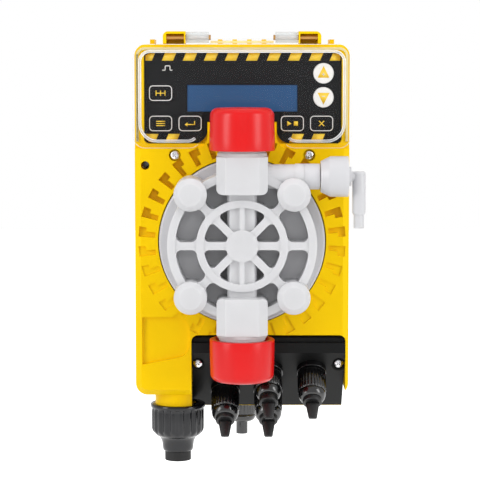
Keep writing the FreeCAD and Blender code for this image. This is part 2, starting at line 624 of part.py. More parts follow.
def lcd_module():
    body = new_body()
    frame_low = "lcd_bottom - 0.7"
    extrude(body, "Pad", "board_bay_deep", "bay_floor", [[
        ("-lcd_left - lcd_frame", frame_low), ("lcd_right + lcd_frame", frame_low),
        ("lcd_right + lcd_frame", "lcd_top + lcd_frame"), ("-lcd_left - lcd_frame", "lcd_top + lcd_frame")]])
    extrude(body, "Pad", "bay_floor", "panel_depth - lcd_sink", [[
        ("-lcd_left + lcd_gap", "lcd_bottom + lcd_gap"), ("lcd_right - lcd_gap", "lcd_bottom + lcd_gap"),
        ("lcd_right - lcd_gap", "lcd_top - lcd_gap"), ("-lcd_left + lcd_gap", "lcd_top - lcd_gap")]])
    return node("lcd_module", body)


def circuit_board():
    board = block(("-panel_left + 2", "panel_right - 3"), ("board_bay_deep - board_thick", "board_bay_deep"),
                  ("panel_bottom", "panel_top - 1"))
    top = "bay_floor - key_flange_gap - key_flange - key_travel - switch_gap"
    switches = [block((x + " - switch_half", x + " + switch_half"), ("board_bay_deep - 0.5", top),
                      (z + " - switch_half", z + " + switch_half"))
                for x, z in list(KEYS.values()) + list(ROUND_KEYS.values())]
    return node("circuit_board", fuse(board, *switches))


def keys():
    flange_front = "bay_floor - key_flange_gap"
    for name, (x, z) in KEYS.items():
        body = new_body()
        cap = extrude(body, "Pad", flange_front, "panel_depth + key_proud", [rectangle(x, z, "0")])
        round_corners(body, cap, (0, 1, 2, 3), "key_flange")
        extrude(body, "Pad", flange_front + " - key_flange", flange_front, [rectangle(x, z, "key_flange")])
        node(name, body)
    for name, (x, z) in ROUND_KEYS.items():
        node(name, turned([("0", flange_front + " - key_flange"),
                           ("round_key + key_flange", flange_front + " - key_flange"),
                           ("round_key + key_flange", flange_front), ("round_key", flange_front),
                           ("round_key", "panel_depth + key_proud"), ("0", "panel_depth + key_proud")],
                          (x, "0", z), "front"))


def clear_cover():
    flange_back = "bay_depth + cover_seal_thick"
    body = new_body()
    sketch = extrude(body, "Pad", flange_back, flange_back + " + flange_thick", [arch_bay(
        "-cover_half", "cover_half", "cover_bottom", "housing_top", "cover_arch_half", "cover_arch_top")])
    round_corners(body, sketch, (0, 5, 6, 7), "cover_round")
    round_corners(body, sketch, (2, 3), "cover_arch_round")
    round_corners(body, sketch, (1, 4), "arch_flare")
    dome = extrude(body, "Pad", flange_back + " + flange_thick", "cover_depth", [arch_bay(
        "-cover_half + flange_wide", "cover_half - flange_wide", "cover_bottom + flange_wide",
        "housing_top - flange_wide", "cover_arch_half + arch_lip", "cover_arch_top + arch_lip")])
    round_corners(body, dome, (0, 5), "dome_round")
    round_corners(body, dome, (6, 7), "cover_round")
    round_corners(body, dome, (2, 3), "cover_arch_round")
    round_corners(body, dome, (1, 4), "arch_flare")
    inner = "flange_wide + cover_wall"
    hollow = new_body()
    inside = extrude(hollow, "Pad", flange_back + " - 1", "cover_depth - cover_wall", [arch_bay(
        "-cover_half + %s" % inner, "cover_half - %s" % inner, "cover_bottom + %s" % inner,
        "housing_top - %s" % inner, "cover_arch_half + arch_lip + cover_wall",
        "cover_arch_top + arch_lip + cover_wall")])
    round_corners(hollow, inside, (0, 5), "dome_round - cover_wall")
    round_corners(hollow, inside, (1, 4), "arch_flare")
    added, removed = [], []
    for side in SIDES:
        near, far = ("-knuckle_outer", "-knuckle_inner") if side else ("knuckle_inner", "knuckle_outer")
        added.append(rod("knuckle_radius", "knuckle_outer - knuckle_inner",
                         (near, "hinge_depth", "hinge_height"), "right"))
        added.append(block((near, far), (flange_back, flange_back + " + flange_thick"),
                           ("housing_top - 1", "hinge_height")))
        near, far = ("-block_outer", "-block_inner") if side else ("block_inner", "block_outer")
        removed.append(block((near + " - block_gap", far + " + block_gap"),
                             ("bay_depth", "block_front + block_gap"),
                             ("housing_top - 1 - block_gap", "housing_top + 1")))
    added.append(block(("-pull_bar_half", "pull_bar_half"), (flange_back, flange_back + " + flange_thick"),
                       ("housing_top - 1", "pull_bar_top")))
    bore = rod("pin_radius + pin_fit", "2 * block_outer", ("-block_outer", "hinge_depth", "hinge_height"), "right")
    return node("clear_cover", cut(fuse(body, *added), hollow, bore, *removed))


def cover_seal():
    body = new_body()
    out, wide = "1.8", "1.8 + cover_seal_wide"
    outline = extrude(body, "Pad", "bay_depth", "bay_depth + cover_seal_thick", [[
        ("-cover_half + " + out, "bay_bottom + 4"), ("-cover_half + " + wide, "bay_bottom + 4"),
        ("-cover_half + " + wide, "housing_top - 3.4"), ("cover_half - (%s)" % wide, "housing_top - 3.4"),
        ("cover_half - (%s)" % wide, "bay_bottom + 4"), ("cover_half - " + out, "bay_bottom + 4"),
        ("cover_half - " + out, "housing_top - 3.4 + cover_seal_wide"),
        ("-cover_half + " + out, "housing_top - 3.4 + cover_seal_wide")]])
    round_corners(body, outline, (6, 7), "cover_seal_round")
    round_corners(body, outline, (2, 3), "cover_seal_round - cover_seal_wide")
    return node("cover_seal", body)


def hinge_pins():
    left = rod("pin_radius", "block_outer - 0.6 - pin_inner",
               ("-block_outer + 0.6", "hinge_depth", "hinge_height"), "right")
    right = rod("pin_radius", "block_outer - 0.6 - pin_inner",
                ("pin_inner", "hinge_depth", "hinge_height"), "right")
    return node("hinge_pins", group(left, right))


# Solenoid drive

def solenoid():
    plate_front = "front_depth - front_wall"
    plate_back = plate_front + " - yoke_plate"
    can = turned([("yoke_radius - yoke_wall", "yoke_back"), ("yoke_radius", "yoke_back"),
                  ("yoke_radius", plate_back), ("bush_radius", plate_back), ("bush_radius", "spring_floor"),
                  ("spring_pocket", "spring_floor"), ("spring_pocket", "pole_face"),
                  ("bobbin_bore - 0.2", "pole_face"), ("bobbin_bore - 0.2", plate_back + " - 0.2"),
                  ("yoke_radius - yoke_wall", plate_back + " - 0.2")], way="front")
    plate = block(("-yoke_plate_half", "yoke_plate_half"), (plate_back, plate_front),
                  ("-yoke_plate_half", "yoke_plate_half"))
    holes = [rod("bolt_radius + rod_fit", "yoke_plate + 2", (a + "bolt_side", plate_back + " - 1", b + "bolt_side"), "front")
             for a in SIDES for b in SIDES]
    holes.append(rod("bush_radius", "yoke_plate + 2", ("0", plate_back + " - 1", "0"), "front"))
    node("solenoid_housing", cut(fuse(can, plate), *holes))
    node("solenoid_end_cap", disc("yoke_radius", "yoke_back - end_cap_thick", "yoke_back"))
    out, mid = "coil_radius + 0.3", "bobbin_bore + bobbin_wall"
    back, front = "yoke_back", plate_back + " - 0.2"
    node("coil_bobbin", turned([
        ("bobbin_bore", back), (out, back), (out, back + " + bobbin_flange"), (mid, back + " + bobbin_flange"),
        (mid, front + " - bobbin_flange"), (out, front + " - bobbin_flange"), (out, front),
        ("bobbin_bore", front)], way="front"))
    node("solenoid_coil", tube("coil_radius", mid, back + " + bobbin_flange", front + " - bobbin_flange"))
    face = "pole_face - pole_gap"
    node("armature", turned([("0", "armature_back"), ("bobbin_bore - armature_gap", "armature_back"),
                             ("bobbin_bore - armature_gap", face),
                             ("rod_radius + rod_fit", face), ("rod_radius + rod_fit", "rod_back"), ("0", "rod_back")], way="front"))
    node("push_rod", disc("rod_radius", "rod_back", "rod_front"))
    node("guide_bush", tube("bush_radius", "rod_radius + rod_fit", "spring_floor", "bush_front"))


def return_spring():
    """Round wire wound between the armature and the bush."""
    start = "pole_face - pole_gap + spring_wire"
    body = new_body()
    sketch = sketch_on(body, "XZ_Plane", "0")
    across, up = "spring_radius %s spring_wire", start + " %s spring_wire"
    draw_polygon(sketch, [(across % "-", up % "- 0.5 *"), (across % "- 0.5 *", up % "-"),
                          (across % "+ 0.5 *", up % "-"), (across % "+", up % "- 0.5 *"),
                          (across % "+", up % "+ 0.5 *"), (across % "+ 0.5 *", up % "+"),
                          (across % "- 0.5 *", up % "+"), (across % "-", up % "+ 0.5 *")])
    helix = body.newObject("PartDesign::AdditiveHelix", fresh("feature"))
    helix.Profile = sketch
    helix.ReferenceAxis = (sketch, ["V_Axis"])
    helix.Mode = 0
    bind(helix, "Height", "spring_floor - spring_wire - (%s)" % start)
    bind(helix, "Pitch", "(spring_floor - spring_wire - (%s)) / spring_turns" % start)
    body.Tip = helix
    return node("return_spring", place(body, ("0", "0", "0"), "front"))


def diaphragm_parts():
    plate = turned([
        ("bush_radius + 0.1", "opening_floor"), ("plate_radius", "opening_floor"),
        ("plate_radius", "plate_front - 0.8"), ("plate_radius - 0.8", "plate_front"),
        ("membrane_radius + membrane_fit", "plate_front"),
        ("membrane_radius + membrane_fit", "plate_front - membrane_thick"),
        ("chamber_radius", "plate_front - membrane_thick"), ("chamber_radius", "opening_floor + plate_web"),
        ("bush_radius + 0.1", "opening_floor + plate_web")], way="front")
    holes = [rod("bolt_radius + bolt_clear", "plate_front", (a + "bolt_side", "0", b + "bolt_side"), "front")
             for a in SIDES for b in SIDES]
    node("back_plate", cut(plate, *holes))
    node("diaphragm", disc("membrane_radius", "plate_front - membrane_thick", "plate_front"))
    node("diaphragm_core", disc("core_radius", "rod_front", "plate_front - membrane_thick"))


# Pump head and valves

def valve_block(start, end):
    half, flat = "valve_half", "(valve_half - valve_chamfer)"
    front, back = "-(valve_depth + %s)", "-(valve_depth - %s)"
    body = new_body()
    extrude(body, "Pad", start, end, role="XY_Plane", polygons=[[
        ("-" + half, front % flat), ("-" + flat, front % half), (flat, front % half), (half, front % flat),
        (half, back % flat), (flat, back % half), ("-" + flat, back % half), ("-" + half, back % flat)]])
    return body


def pump_head():
    way_out = {"up": "", "down": "-"}
    blank = disc("head_radius", "plate_front", "head_front")
    wells = [tube("rim_inner", "ring_outer", "head_floor", "head_front + 1"),
             tube("ring_inner", "hub_radius", "head_floor", "head_front + 1")]
    spokes = []
    for angle in (0, 45, 135):
        spoke = new_body()
        extrude(spoke, "Pad", "head_floor - 1", "head_front - 0.6", [[
            ("-rim_inner - 1", "-spoke_half"), ("rim_inner + 1", "-spoke_half"),
            ("rim_inner + 1", "spoke_half"), ("-rim_inner - 1", "spoke_half")]])
        spoke.Placement = Placement(Vector(), Rotation(Vector(0, 1, 0), angle))
        spokes.append(spoke)
    bosses = [rod("boss_radius", "head_front - plate_front", (a + "bolt_side", "plate_front", b + "bolt_side"), "front")
              for a in SIDES for b in SIDES]
    column = rod("column_radius", "2 * valve_start + 2", ("0", "valve_depth", "-valve_start - 1"), "up")
    behind = block(("-column_radius - 1", "column_radius + 1"), ("plate_front", "head_front - column_sink"),
                   ("-valve_start - 2", "valve_start + 2"))
    upright = new_body()
    extrude(upright, "Pad", "head_floor - 1", "head_front - 0.6", [[
        ("-rib_slim", "-ring_inner - 1"), ("rib_slim", "-ring_inner - 1"),
        ("rib_slim", "ring_inner + 1"), ("-rib_slim", "ring_inner + 1")]])
    spokes.append(upright)
    solid = [cut(blank, *wells), common(column, behind)] + spokes + bosses
    solid += [valve_block("valve_start", "valve_end"), valve_block("-valve_end", "-valve_start")]
    bores = []
    for way, sign in way_out.items():
        at = ("0", "valve_depth", sign + "(valve_end - 1)")
        solid.append(rod("collar_radius", "collar_end - valve_end + 1", at, way))
        solid.append(rod("neck_radius", "neck_end - valve_end + 1", at, way))
        bores.append(rod("valve_bore", "neck_end - valve_floor + 1", ("0", "valve_depth", sign + "valve_floor"), way))
        bores.append(rod("channel_radius", "valve_floor - channel_height + channel_radius + 2",
                         ("0", "valve_depth", sign + "(channel_height - channel_radius - 1)"), way))
        bores.append(rod("channel_radius * 0.8", "valve_depth - plate_front + 1",
                         ("0", "plate_front - 1", sign + "channel_height"), "front"))
    for a in SIDES:
        for b in SIDES:
            at = (a + "bolt_side", "plate_front - 1", b + "bolt_side")
            bores.append(rod("bolt_radius + bolt_clear", "head_front - plate_front + 2", at, "front"))
            seat = (a + "bolt_side", "bolt_seat", b + "bolt_side")
            bores.append(rod("cap_plug + plug_fit", "head_front - bolt_seat + 1", seat, "front"))
    bores.append(cone("chamber_radius", "chamber_floor", "chamber_deep", ("0", "plate_front", "0"), "front"))
    bleed = "valve_depth", "bleed_height"
    solid.append(rod("bleed_tube", "bleed_shoulder - valve_half + 1", ("valve_half - 1", *bleed), "right"))
    solid.append(rod("bleed_union", "bleed_split - bleed_shoulder", ("bleed_shoulder", *bleed), "right"))
    bores.append(rod("bleed_union + bleed_clear", "bleed_end - bleed_split", ("bleed_split", *bleed), "right"))
    bores.append(rod("bleed_bore", "bleed_split - valve_bore + 2", ("valve_bore - 1", *bleed), "right"))
    bores.append(rod("bleed_spigot + valve_fit", "bleed_spigot_long + 0.5",
                     ("bleed_split - bleed_spigot_long", *bleed), "right"))
    return node("pump_head", cut(fuse(*solid), *bores))


def head_bolts():
    made, caps = [], []
    for a in SIDES:
        for b in SIDES:
            at = (a + "bolt_side", "0", b + "bolt_side")
            made.append(turned([
                ("0", "bolt_end"), ("bolt_radius", "bolt_end"), ("bolt_radius", "bolt_seat"),
                ("bolt_head_radius", "bolt_seat"), ("bolt_head_radius", "bolt_seat + bolt_head_tall"),
                ("0", "bolt_seat + bolt_head_tall")], at, "front"))
            caps.append(turned([
                ("0", "head_front - cap_plug_deep"), ("cap_plug", "head_front - cap_plug_deep"),
                ("cap_plug", "head_front"), ("boss_radius", "head_front"), ("boss_radius", "cap_edge"),
                ("cap_flat", "cap_front"), ("0", "cap_front")], at, "front"))
    node("head_bolts", group(*made))
    node("bolt_caps", group(*caps))


def valve(prefix, way, seat_far):
    """Cartridge, ball and seal of one port. The seat is always below its ball."""
    axis = ("0", "valve_depth", "0")
    bottom = "valve_floor + valve_seal_thick"
    body_radius = "valve_bore - valve_fit"
    if seat_far:
        low = "neck_end - 2"
        inside = [("seat_hole", "port_end"), ("seat_hole", low), ("cage_radius", low + " - cage_radius + seat_hole"),
                  ("cage_radius", low + " - cage_tall"), ("seat_hole", low + " - cage_tall - 1"),
                  ("seat_hole", bottom)]
    else:
        low = bottom + " + seat_drop"
        inside = [("channel_radius", "port_end"), ("channel_radius", low + " + cage_tall + 1"),
                  ("cage_radius", low + " + cage_tall"), ("cage_radius", low + " + cage_radius - seat_hole"),
                  ("seat_hole", low), ("seat_hole", bottom)]
    outside = [(body_radius, bottom), (body_radius, "neck_end"), ("port_radius", "neck_end"),
               ("port_radius", "port_end")]
    node(prefix + "_valve", turned(outside + inside, axis, way))
    # The ball rests on the 45 degree cone of the seat.
    lift = "(ball_radius + seat_gap) * sqrt(2) - seat_hole"
    height = "%s - (%s)" % (low, lift) if seat_far else "%s + %s" % (low, lift)
    ball = doc.addObject("Part::Sphere", prefix + "_ball_form")
    bind(ball, "Radius", "ball_radius")
    sign = "-" if way == "down" else ""
    place(ball, ("0", "valve_depth", "%s(%s)" % (sign, height)))
    node(prefix + "_ball", ball)
    node(prefix + "_seal", tube("valve_bore - valve_fit", "seat_hole", "valve_floor", bottom, axis, way))
    node(prefix + "_cap", turned([
        ("cap_mouth", "cap_start"), ("cap_radius", "cap_start"),
        ("cap_radius - cap_taper / 2", "cap_end - cap_soft"),
        ("cap_radius - cap_taper - cap_soft * 0.2", "cap_end - cap_soft * 0.35"),
        ("cap_radius - cap_taper - cap_soft * 0.75", "cap_end"), ("0", "cap_end"), ("0", "cap_end - cap_top"),
        ("port_radius + port_cap_fit", "cap_end - cap_top"),
        ("port_radius + port_cap_fit", "cap_start + cap_mouth_deep"),
        ("cap_mouth", "cap_start + cap_mouth_deep")], axis, way))


def bleed_valve():
    axis = ("0", "valve_depth", "bleed_height")
    node("bleed_body", turned([
        ("bleed_bore", "bleed_split - bleed_spigot_long"), ("bleed_spigot", "bleed_split - bleed_spigot_long"),
        ("bleed_spigot", "bleed_split"), ("bleed_union", "bleed_split"), ("bleed_union", "bleed_end"),
        ("spindle_radius + spindle_fit", "bleed_end"),
        ("spindle_radius + spindle_fit", "bleed_split + spindle_room"),
        ("bleed_bore", "bleed_split + spindle_room")], axis, "right"))
    fit = "nozzle_spigot + spindle_fit"
    node("bleed_knob", turned([
        ("bleed_bore", "spindle_start"), ("spindle_radius", "spindle_start"), ("spindle_radius", "knob_start"),
        ("knob_neck", "knob_start"), ("knob_radius", "knob_shoulder"), ("knob_radius", "knob_end"),
        ("knob_disc", "knob_end"), ("knob_disc", "knob_disc_end"), (fit, "knob_disc_end"),
        (fit, "nozzle_spigot_start - 0.2"), ("bleed_bore", "nozzle_spigot_start - 0.2")], axis, "right"))
    arm = turned([("0", "nozzle_tip"), ("nozzle_tip_radius", "nozzle_tip"), ("nozzle_tip_radius", "nozzle_neck - 1.5"),
                  ("nozzle_radius", "nozzle_neck"), ("nozzle_radius", "nozzle_top - 0.8"),
                  ("nozzle_radius - 0.8", "nozzle_top"), ("0", "nozzle_top")],
                 ("nozzle_side", "valve_depth", "0"), "up")
    spigot = rod("nozzle_spigot", "nozzle_side - nozzle_spigot_start",
                 ("nozzle_spigot_start", "valve_depth", "bleed_height"), "right")
    bores = [rod("nozzle_bore", "bleed_height - nozzle_tip + 1", ("nozzle_side", "valve_depth", "nozzle_tip - 1"), "up"),
             rod("bleed_bore", "nozzle_side - nozzle_spigot_start + 1",
                 ("nozzle_spigot_start - 1", "valve_depth", "bleed_height"), "right")]
    node("bleed_nozzle", cut(fuse(arm, spigot), *bores))


# Terminal cover and glands

GLANDS = [
    ("gland_middle - gland_pitch", "gland_lower_row"), ("gland_middle", "gland_upper_row"),
    ("gland_middle", "gland_lower_row"), ("gland_middle + gland_pitch", "gland_upper_row"),
]


def on_slope(across, row):
    return (across, "slope_depth - (%s) * cos(slope_angle)" % row, "-slope_drop - (%s) * sin(slope_angle)" % row)


def terminal_cover():
    body = new_body()
    skew = "terminal_wall * %s(slope_angle)"
    foot = "slope_depth - (foot_drop - slope_drop) / tan(slope_angle)"
    sketch = extrude(body, "Pad", "-terminal_left", "terminal_right", role="YZ_Plane", polygons=[[
        ("-terminal_back", "-terminal_top"), ("-band_depth", "-terminal_top"), ("-band_depth", "-band_drop"),
        ("-brow_depth", "-band_drop"), ("-slope_depth", "-slope_drop"), ("-(%s)" % foot, "-foot_drop"),
        ("-terminal_back", "-foot_drop")]])
    round_corners(body, sketch, (1,), "terminal_round")
    inner_depth = "slope_depth - %s" % (skew % "sin")
    inner_drop = "slope_drop - %s" % (skew % "cos")
    end_depth = "terminal_back - 1"
    end_drop = "(%s) + ((%s) - (%s)) * tan(slope_angle)" % (inner_drop, inner_depth, end_depth)
    hollow = new_body()
    extrude(hollow, "Pad", "-terminal_left + terminal_wall", "terminal_right - terminal_wall",
            role="YZ_Plane", polygons=[[
                ("-(%s)" % end_depth, "-terminal_top - terminal_wall"),
                ("-band_depth + terminal_wall", "-terminal_top - terminal_wall"),
                ("-band_depth + terminal_wall", "-(%s)" % inner_drop),
                ("-(%s)" % inner_depth, "-(%s)" % inner_drop),
                ("-(%s)" % end_depth, "-(%s)" % end_drop)]])
    posts, drills = [], []
    for x in ("-terminal_screw_left", "terminal_screw_right"):
        posts.append(rod("terminal_screw_hole + 1", "terminal_screw_seat - terminal_back + 1",
                         (x, "terminal_back", "-terminal_screw_drop"), "front"))
        drills.append(rod("terminal_screw_hole", "20", (x, "terminal_screw_seat", "-terminal_screw_drop"), "front"))
        drills.append(rod("terminal_screw_radius + 0.2", "40", (x, "terminal_back - 1", "-terminal_screw_drop"), "front"))
    envelope = block(("-terminal_left", "terminal_right"), ("terminal_back", "slope_depth"),
                     ("-foot_drop", "-terminal_top"))
    posts = [common(post, envelope) for post in posts]
    plan = new_body()
    outline = extrude(plan, "Pad", "terminal_back", "slope_depth", [[
        ("-terminal_left", "-foot_drop"), ("terminal_right", "-foot_drop"),
        ("terminal_right", "-terminal_top"), ("-terminal_left", "-terminal_top")]])
    round_corners(plan, outline, (2, 3), "terminal_side_round")
    holes = []
    for across, row in GLANDS:
        hole = rod("gland_shank + gland_shank_fit", "2 * terminal_wall + 4", on_slope(across, row), "slope")
        place(hole, (across, "slope_depth - (%s) * cos(slope_angle) - (terminal_wall + 2) * sin(slope_angle)" % row,
                     "-slope_drop - (%s) * sin(slope_angle) + (terminal_wall + 2) * cos(slope_angle)" % row), "slope")
        holes.append(hole)
    return node("terminal_cover", cut(common(fuse(cut(body, hollow), *posts), plan), *drills, *holes))


def terminal_screws():
    made = [screw((x, "terminal_screw_seat", "-terminal_screw_drop"), "terminal_screw_head",
                  "terminal_screw_radius", "screw_head_thick", "terminal_screw_seat - terminal_screw_end")
            for x in ("-terminal_screw_left", "terminal_screw_right")]
    return node("terminal_cover_screws", group(*made))


def gland(at, way, more, wide):
    """Body and nut of a cable gland that stands on a surface."""
    body = turned([
        ("gland_bore", "-gland_shank_long"), ("gland_shank", "-gland_shank_long"), ("gland_shank", "0"),
        ("gland_flange", "0"), ("gland_flange", "gland_flange_tall"), ("gland_thread", "gland_flange_tall"),
        ("gland_thread", "gland_thread_end"), ("gland_bore", "gland_thread_end")], at, way)
    nut = turned([
        ("gland_thread + gland_fit", "gland_nut_start"), (wide, "gland_nut_start"),
        (wide, "gland_nut_shoulder + " + more), ("gland_nut_tip", "gland_nut_end + " + more),
        ("gland_bore + gland_fit", "gland_nut_end + " + more),
        ("gland_bore + gland_fit", "gland_nut_shoulder"),
        ("gland_thread + gland_fit", "gland_thread_end + 1")], at, way)
    return body, nut


def signal_glands():
    bodies, nuts, plugs = [], [], []
    for across, row in GLANDS:
        at = on_slope(across, row)
        body, nut = gland(at, "slope", "0", "gland_nut_radius")
        bodies.append(body)
        nuts.append(nut)
        core = turned([
            ("0", "plug_start"), ("gland_bore - gland_fit", "plug_start"), ("gland_bore - gland_fit", "plug_disc_start"),
            ("plug_disc", "plug_disc_start"), ("plug_disc", "plug_disc_end"), ("plug_tip", "plug_disc_end + 1"),
            ("plug_tip", "plug_tip_end"), ("0", "plug_tip_end")], at, "slope")
        wing = new_body()
        extrude(wing, "Pad", "-plug_wing_thick", "plug_wing_thick", [[
            ("-plug_wing_half", "plug_disc_end - 0.5"), ("plug_wing_half", "plug_disc_end - 0.5"),
            ("plug_tip", "plug_tip_end"), ("-plug_tip", "plug_tip_end")]])
        place(wing, at, "slope")
        plugs.append(fuse(core, wing))
    node("signal_gland_bodies", group(*bodies))
    node("signal_gland_nuts", group(*nuts))
    node("signal_gland_plugs", group(*plugs))


def rear_gland():
    at = ("0", "rear_gland_depth", "-ledge_drop")
    body, nut = gland(at, "down", "rear_gland_more", "rear_nut_radius")
    node("rear_gland_body", body)
    node("rear_gland_nut", nut)
    face = "gland_nut_end + rear_gland_more"
    node("rear_gland_plug", turned([
        ("0", "plug_start"), ("gland_bore - gland_fit", "plug_start"), ("gland_bore - gland_fit", face),
        ("rear_plug", face), ("rear_plug", "plug_tip_end"), ("0", "plug_tip_end")], at, "down"))


def power_gland():
    at = ("-power_side", "power_depth", "0")
    node("power_gland_body", turned([
        ("power_bore", "power_body_start"), ("power_body", "power_body_start"), ("power_body", "power_body_end"),
        ("power_bore", "power_body_end")], at, "down"))
    body = new_body()
    sketch = sketch_on(body, "XZ_Plane", "0")
    draw_polygon(sketch, [
        ("power_body + power_fit", "power_boss_end"), ("power_nut", "power_boss_end"),
        ("power_nut", "power_boss_end + 2"), ("power_nut - power_flare", "power_boss_end + 3.5"),
        ("power_nut - power_flare", "power_nut_end"), ("power_nut_step", "power_nut_end"),
        ("power_nut_step", "power_step_end"), ("power_tip", "power_tip_end"),
        ("power_seal + power_fit", "power_tip_end"), ("power_seal + power_fit", "power_step_end"),
        ("power_body + power_fit", "power_body_end + 1.5")])
    feature = body.newObject("PartDesign::Revolution", fresh("turn"))
    feature.Profile = sketch
    feature.ReferenceAxis = (sketch, ["V_Axis"])
    feature.Angle = 360
    body.Tip = feature
    groove = sketch_on(body, "XY_Plane", "power_nut_end + 1")
    draw_polygon(groove, [("power_nut - power_flare - nut_rib_groove", "-nut_rib_groove * 0.5"),
                          ("power_nut + 1", "-nut_rib_groove"), ("power_nut + 1", "nut_rib_groove"),
                          ("power_nut - power_flare - nut_rib_groove", "nut_rib_groove * 0.5")])
    pocket = body.newObject("PartDesign::Pocket", fresh("feature"))
    pocket.Profile = groove
    bind(pocket, "Length", "power_nut_end + 1 - power_boss_end - 3.5")
    body.Tip = pocket
    pattern = body.newObject("PartDesign::PolarPattern", fresh("pattern"))
    pattern.Originals = [pocket]
    axis = [part for part in body.Origin.OriginFeatures if part.Role == "Z_Axis"][0]
    pattern.Axis = (axis, [""])
    pattern.Angle = 360
    bind(pattern, "Occurrences", "nut_rib_count")
    body.Tip = pattern
    node("power_gland_nut", place(body, at, "down"))
    node("power_gland_seal", tube("power_seal", "power_cable", "power_body_end", "power_seal_end", at, "down"))


# Assembly

rear_housing()
housing_gasket()
front_housing()
case_screws()
control_panel()
lcd_module()
circuit_board()
keys()
clear_cover()
cover_seal()
hinge_pins()
solenoid()
return_spring()
diaphragm_parts()
pump_head()
head_bolts()
valve("discharge", "up", seat_far=False)
valve("suction", "down", seat_far=True)
bleed_valve()
terminal_cover()
terminal_screws()
signal_glands()
rear_gland()
power_gland()
doc.recompute()

failed = ["%s (%s)" % (item.Name, item.Label) for item in doc.Objects
          if "Invalid" in item.State or "Error" in item.State]
failed += [item.Label for item in NODES if item.Shape.isNull() or not item.Shape.isValid()]
if failed:
    raise RuntimeError("these pieces failed: " + ", ".join(failed))

os.makedirs("parts", exist_ok=True)
for item in NODES:
    item.Shape.exportStep("parts/%s.step" % item.Label)
print("%d nodes, %d solids" % (len(NODES), sum(len(item.Shape.Solids) for item in NODES)))
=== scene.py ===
# %% [markdown]
# This scene dresses a diaphragm metering pump: a yellow housing that hangs on a wall, a white ribbed
# pump head with red port caps, a clear cover over a black keypad and display, and cable glands below.
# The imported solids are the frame. Each piece made here sits on them, in metres, X right, Z up.
# We load the frame first, because every later piece asks it for its place.

# %% Load the frame
import json
import math

import bmesh
import bpy
from mathutils import Matrix, Vector


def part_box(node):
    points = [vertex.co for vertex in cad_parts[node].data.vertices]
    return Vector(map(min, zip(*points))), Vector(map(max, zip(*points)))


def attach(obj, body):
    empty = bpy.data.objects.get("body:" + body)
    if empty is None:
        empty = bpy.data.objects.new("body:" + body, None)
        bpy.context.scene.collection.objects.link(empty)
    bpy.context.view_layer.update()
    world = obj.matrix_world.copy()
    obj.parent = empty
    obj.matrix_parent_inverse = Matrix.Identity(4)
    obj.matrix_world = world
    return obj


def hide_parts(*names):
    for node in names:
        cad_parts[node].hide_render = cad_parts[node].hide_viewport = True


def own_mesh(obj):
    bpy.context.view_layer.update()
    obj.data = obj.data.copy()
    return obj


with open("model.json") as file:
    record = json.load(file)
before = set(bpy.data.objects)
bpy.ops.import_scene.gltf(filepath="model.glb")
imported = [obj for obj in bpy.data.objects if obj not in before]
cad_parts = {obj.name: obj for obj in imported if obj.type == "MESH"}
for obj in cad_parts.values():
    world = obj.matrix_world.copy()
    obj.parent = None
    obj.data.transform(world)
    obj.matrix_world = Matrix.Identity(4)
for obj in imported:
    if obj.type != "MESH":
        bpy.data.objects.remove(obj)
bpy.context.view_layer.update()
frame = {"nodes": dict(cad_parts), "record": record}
nodes = frame["nodes"]
MM = 0.001

# %% [markdown]
# Places could be typed in as plain numbers, but a piece fits best when they come from what carries it.
# Two helpers read a solid's box in millimetres, with depths counted from the wall to the front. A turned
# solid has flat facets, which put its box a few micrometres off, so we round to a hundredth.

# %% Measure the solids
def span(node):
    """(left, right), (back, front) and (bottom, top) of a node."""
    low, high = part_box(node)
    pairs = ((low[0], high[0]), (-high[1], -low[1]), (low[2], high[2]))
    return [(round(a / MM, 2), round(b / MM, 2)) for a, b in pairs]


def middle(node):
    """The middle of a node's box as (x, depth, z)."""
    low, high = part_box(node)
    x, y, z = [round((a + b) / 2 / MM, 2) for a, b in zip(low, high)]
    return x, -y, z


print("head", span("pump_head"), "discharge cap stands on", middle("discharge_cap"))

# %% [markdown]
# A product photo of this kind is taken from far away with a long lens, a little above the object. A
# camera that Blender fits to the object would fill the picture in its own way. The tops of the hinge
# blocks and the undersides of the glands tell how high the real one stood, so we stand ours there.

# %% Camera
AIM = Vector((-1.2, -100, 0.9)) * MM
EYE = Vector((-1.2, -1212, 106)) * MM
SENSOR_MM = 36
LENS_MM, LENS_DISTANCE = 142.6, 1.112


def added(name, data):
    """A new object in the scene."""
    thing = bpy.data.objects.new(name, data)
    bpy.context.scene.collection.objects.link(thing)
    return thing


def look(thing, place, target):
    """Stands a camera or a lamp at a place and turns it to a target, both in metres."""
    thing.location = place
    thing.rotation_mode = "QUATERNION"
    thing.rotation_quaternion = (Vector(target) - Vector(place)).to_track_quat("-Z", "Y")


camera = added("camera", bpy.data.cameras.new("camera"))
look(camera, EYE, AIM)
distance = (AIM - EYE).length
camera.data.sensor_width = SENSOR_MM
camera.data.lens = LENS_MM * distance / LENS_DISTANCE
camera.data.clip_end = 20
bpy.context.scene.camera = camera
bpy.context.scene.view_settings.view_transform = "Standard"
print("camera", round(distance, 3), "m away, lens", round(camera.data.lens, 1), "mm")

# %% [markdown]
# The light is that of a white product tent: large soft panels at both sides, one above and one in
# front. Small lamps would give hard points of light, where the photo has broad soft streaks on the red
# caps. The upper and the front panel only fill the shadows, so they aren't mirrored.

# %% Soft panels
PUMP_MIDDLE = (0, -0.08, 0)


def soft_panel(name, place, size, power, mirrored=True):
    """A rectangular lamp, with its size in metres and its power in watts, turned to the pump."""
    lamp = bpy.data.lights.new(name, "AREA")
    lamp.shape = "RECTANGLE"
    lamp.size, lamp.size_y = size
    lamp.energy = power
    holder = added(name, lamp)
    look(holder, place, PUMP_MIDDLE)
    holder.visible_glossy = mirrored
    print(name, power, "W, mirrored:", mirrored)


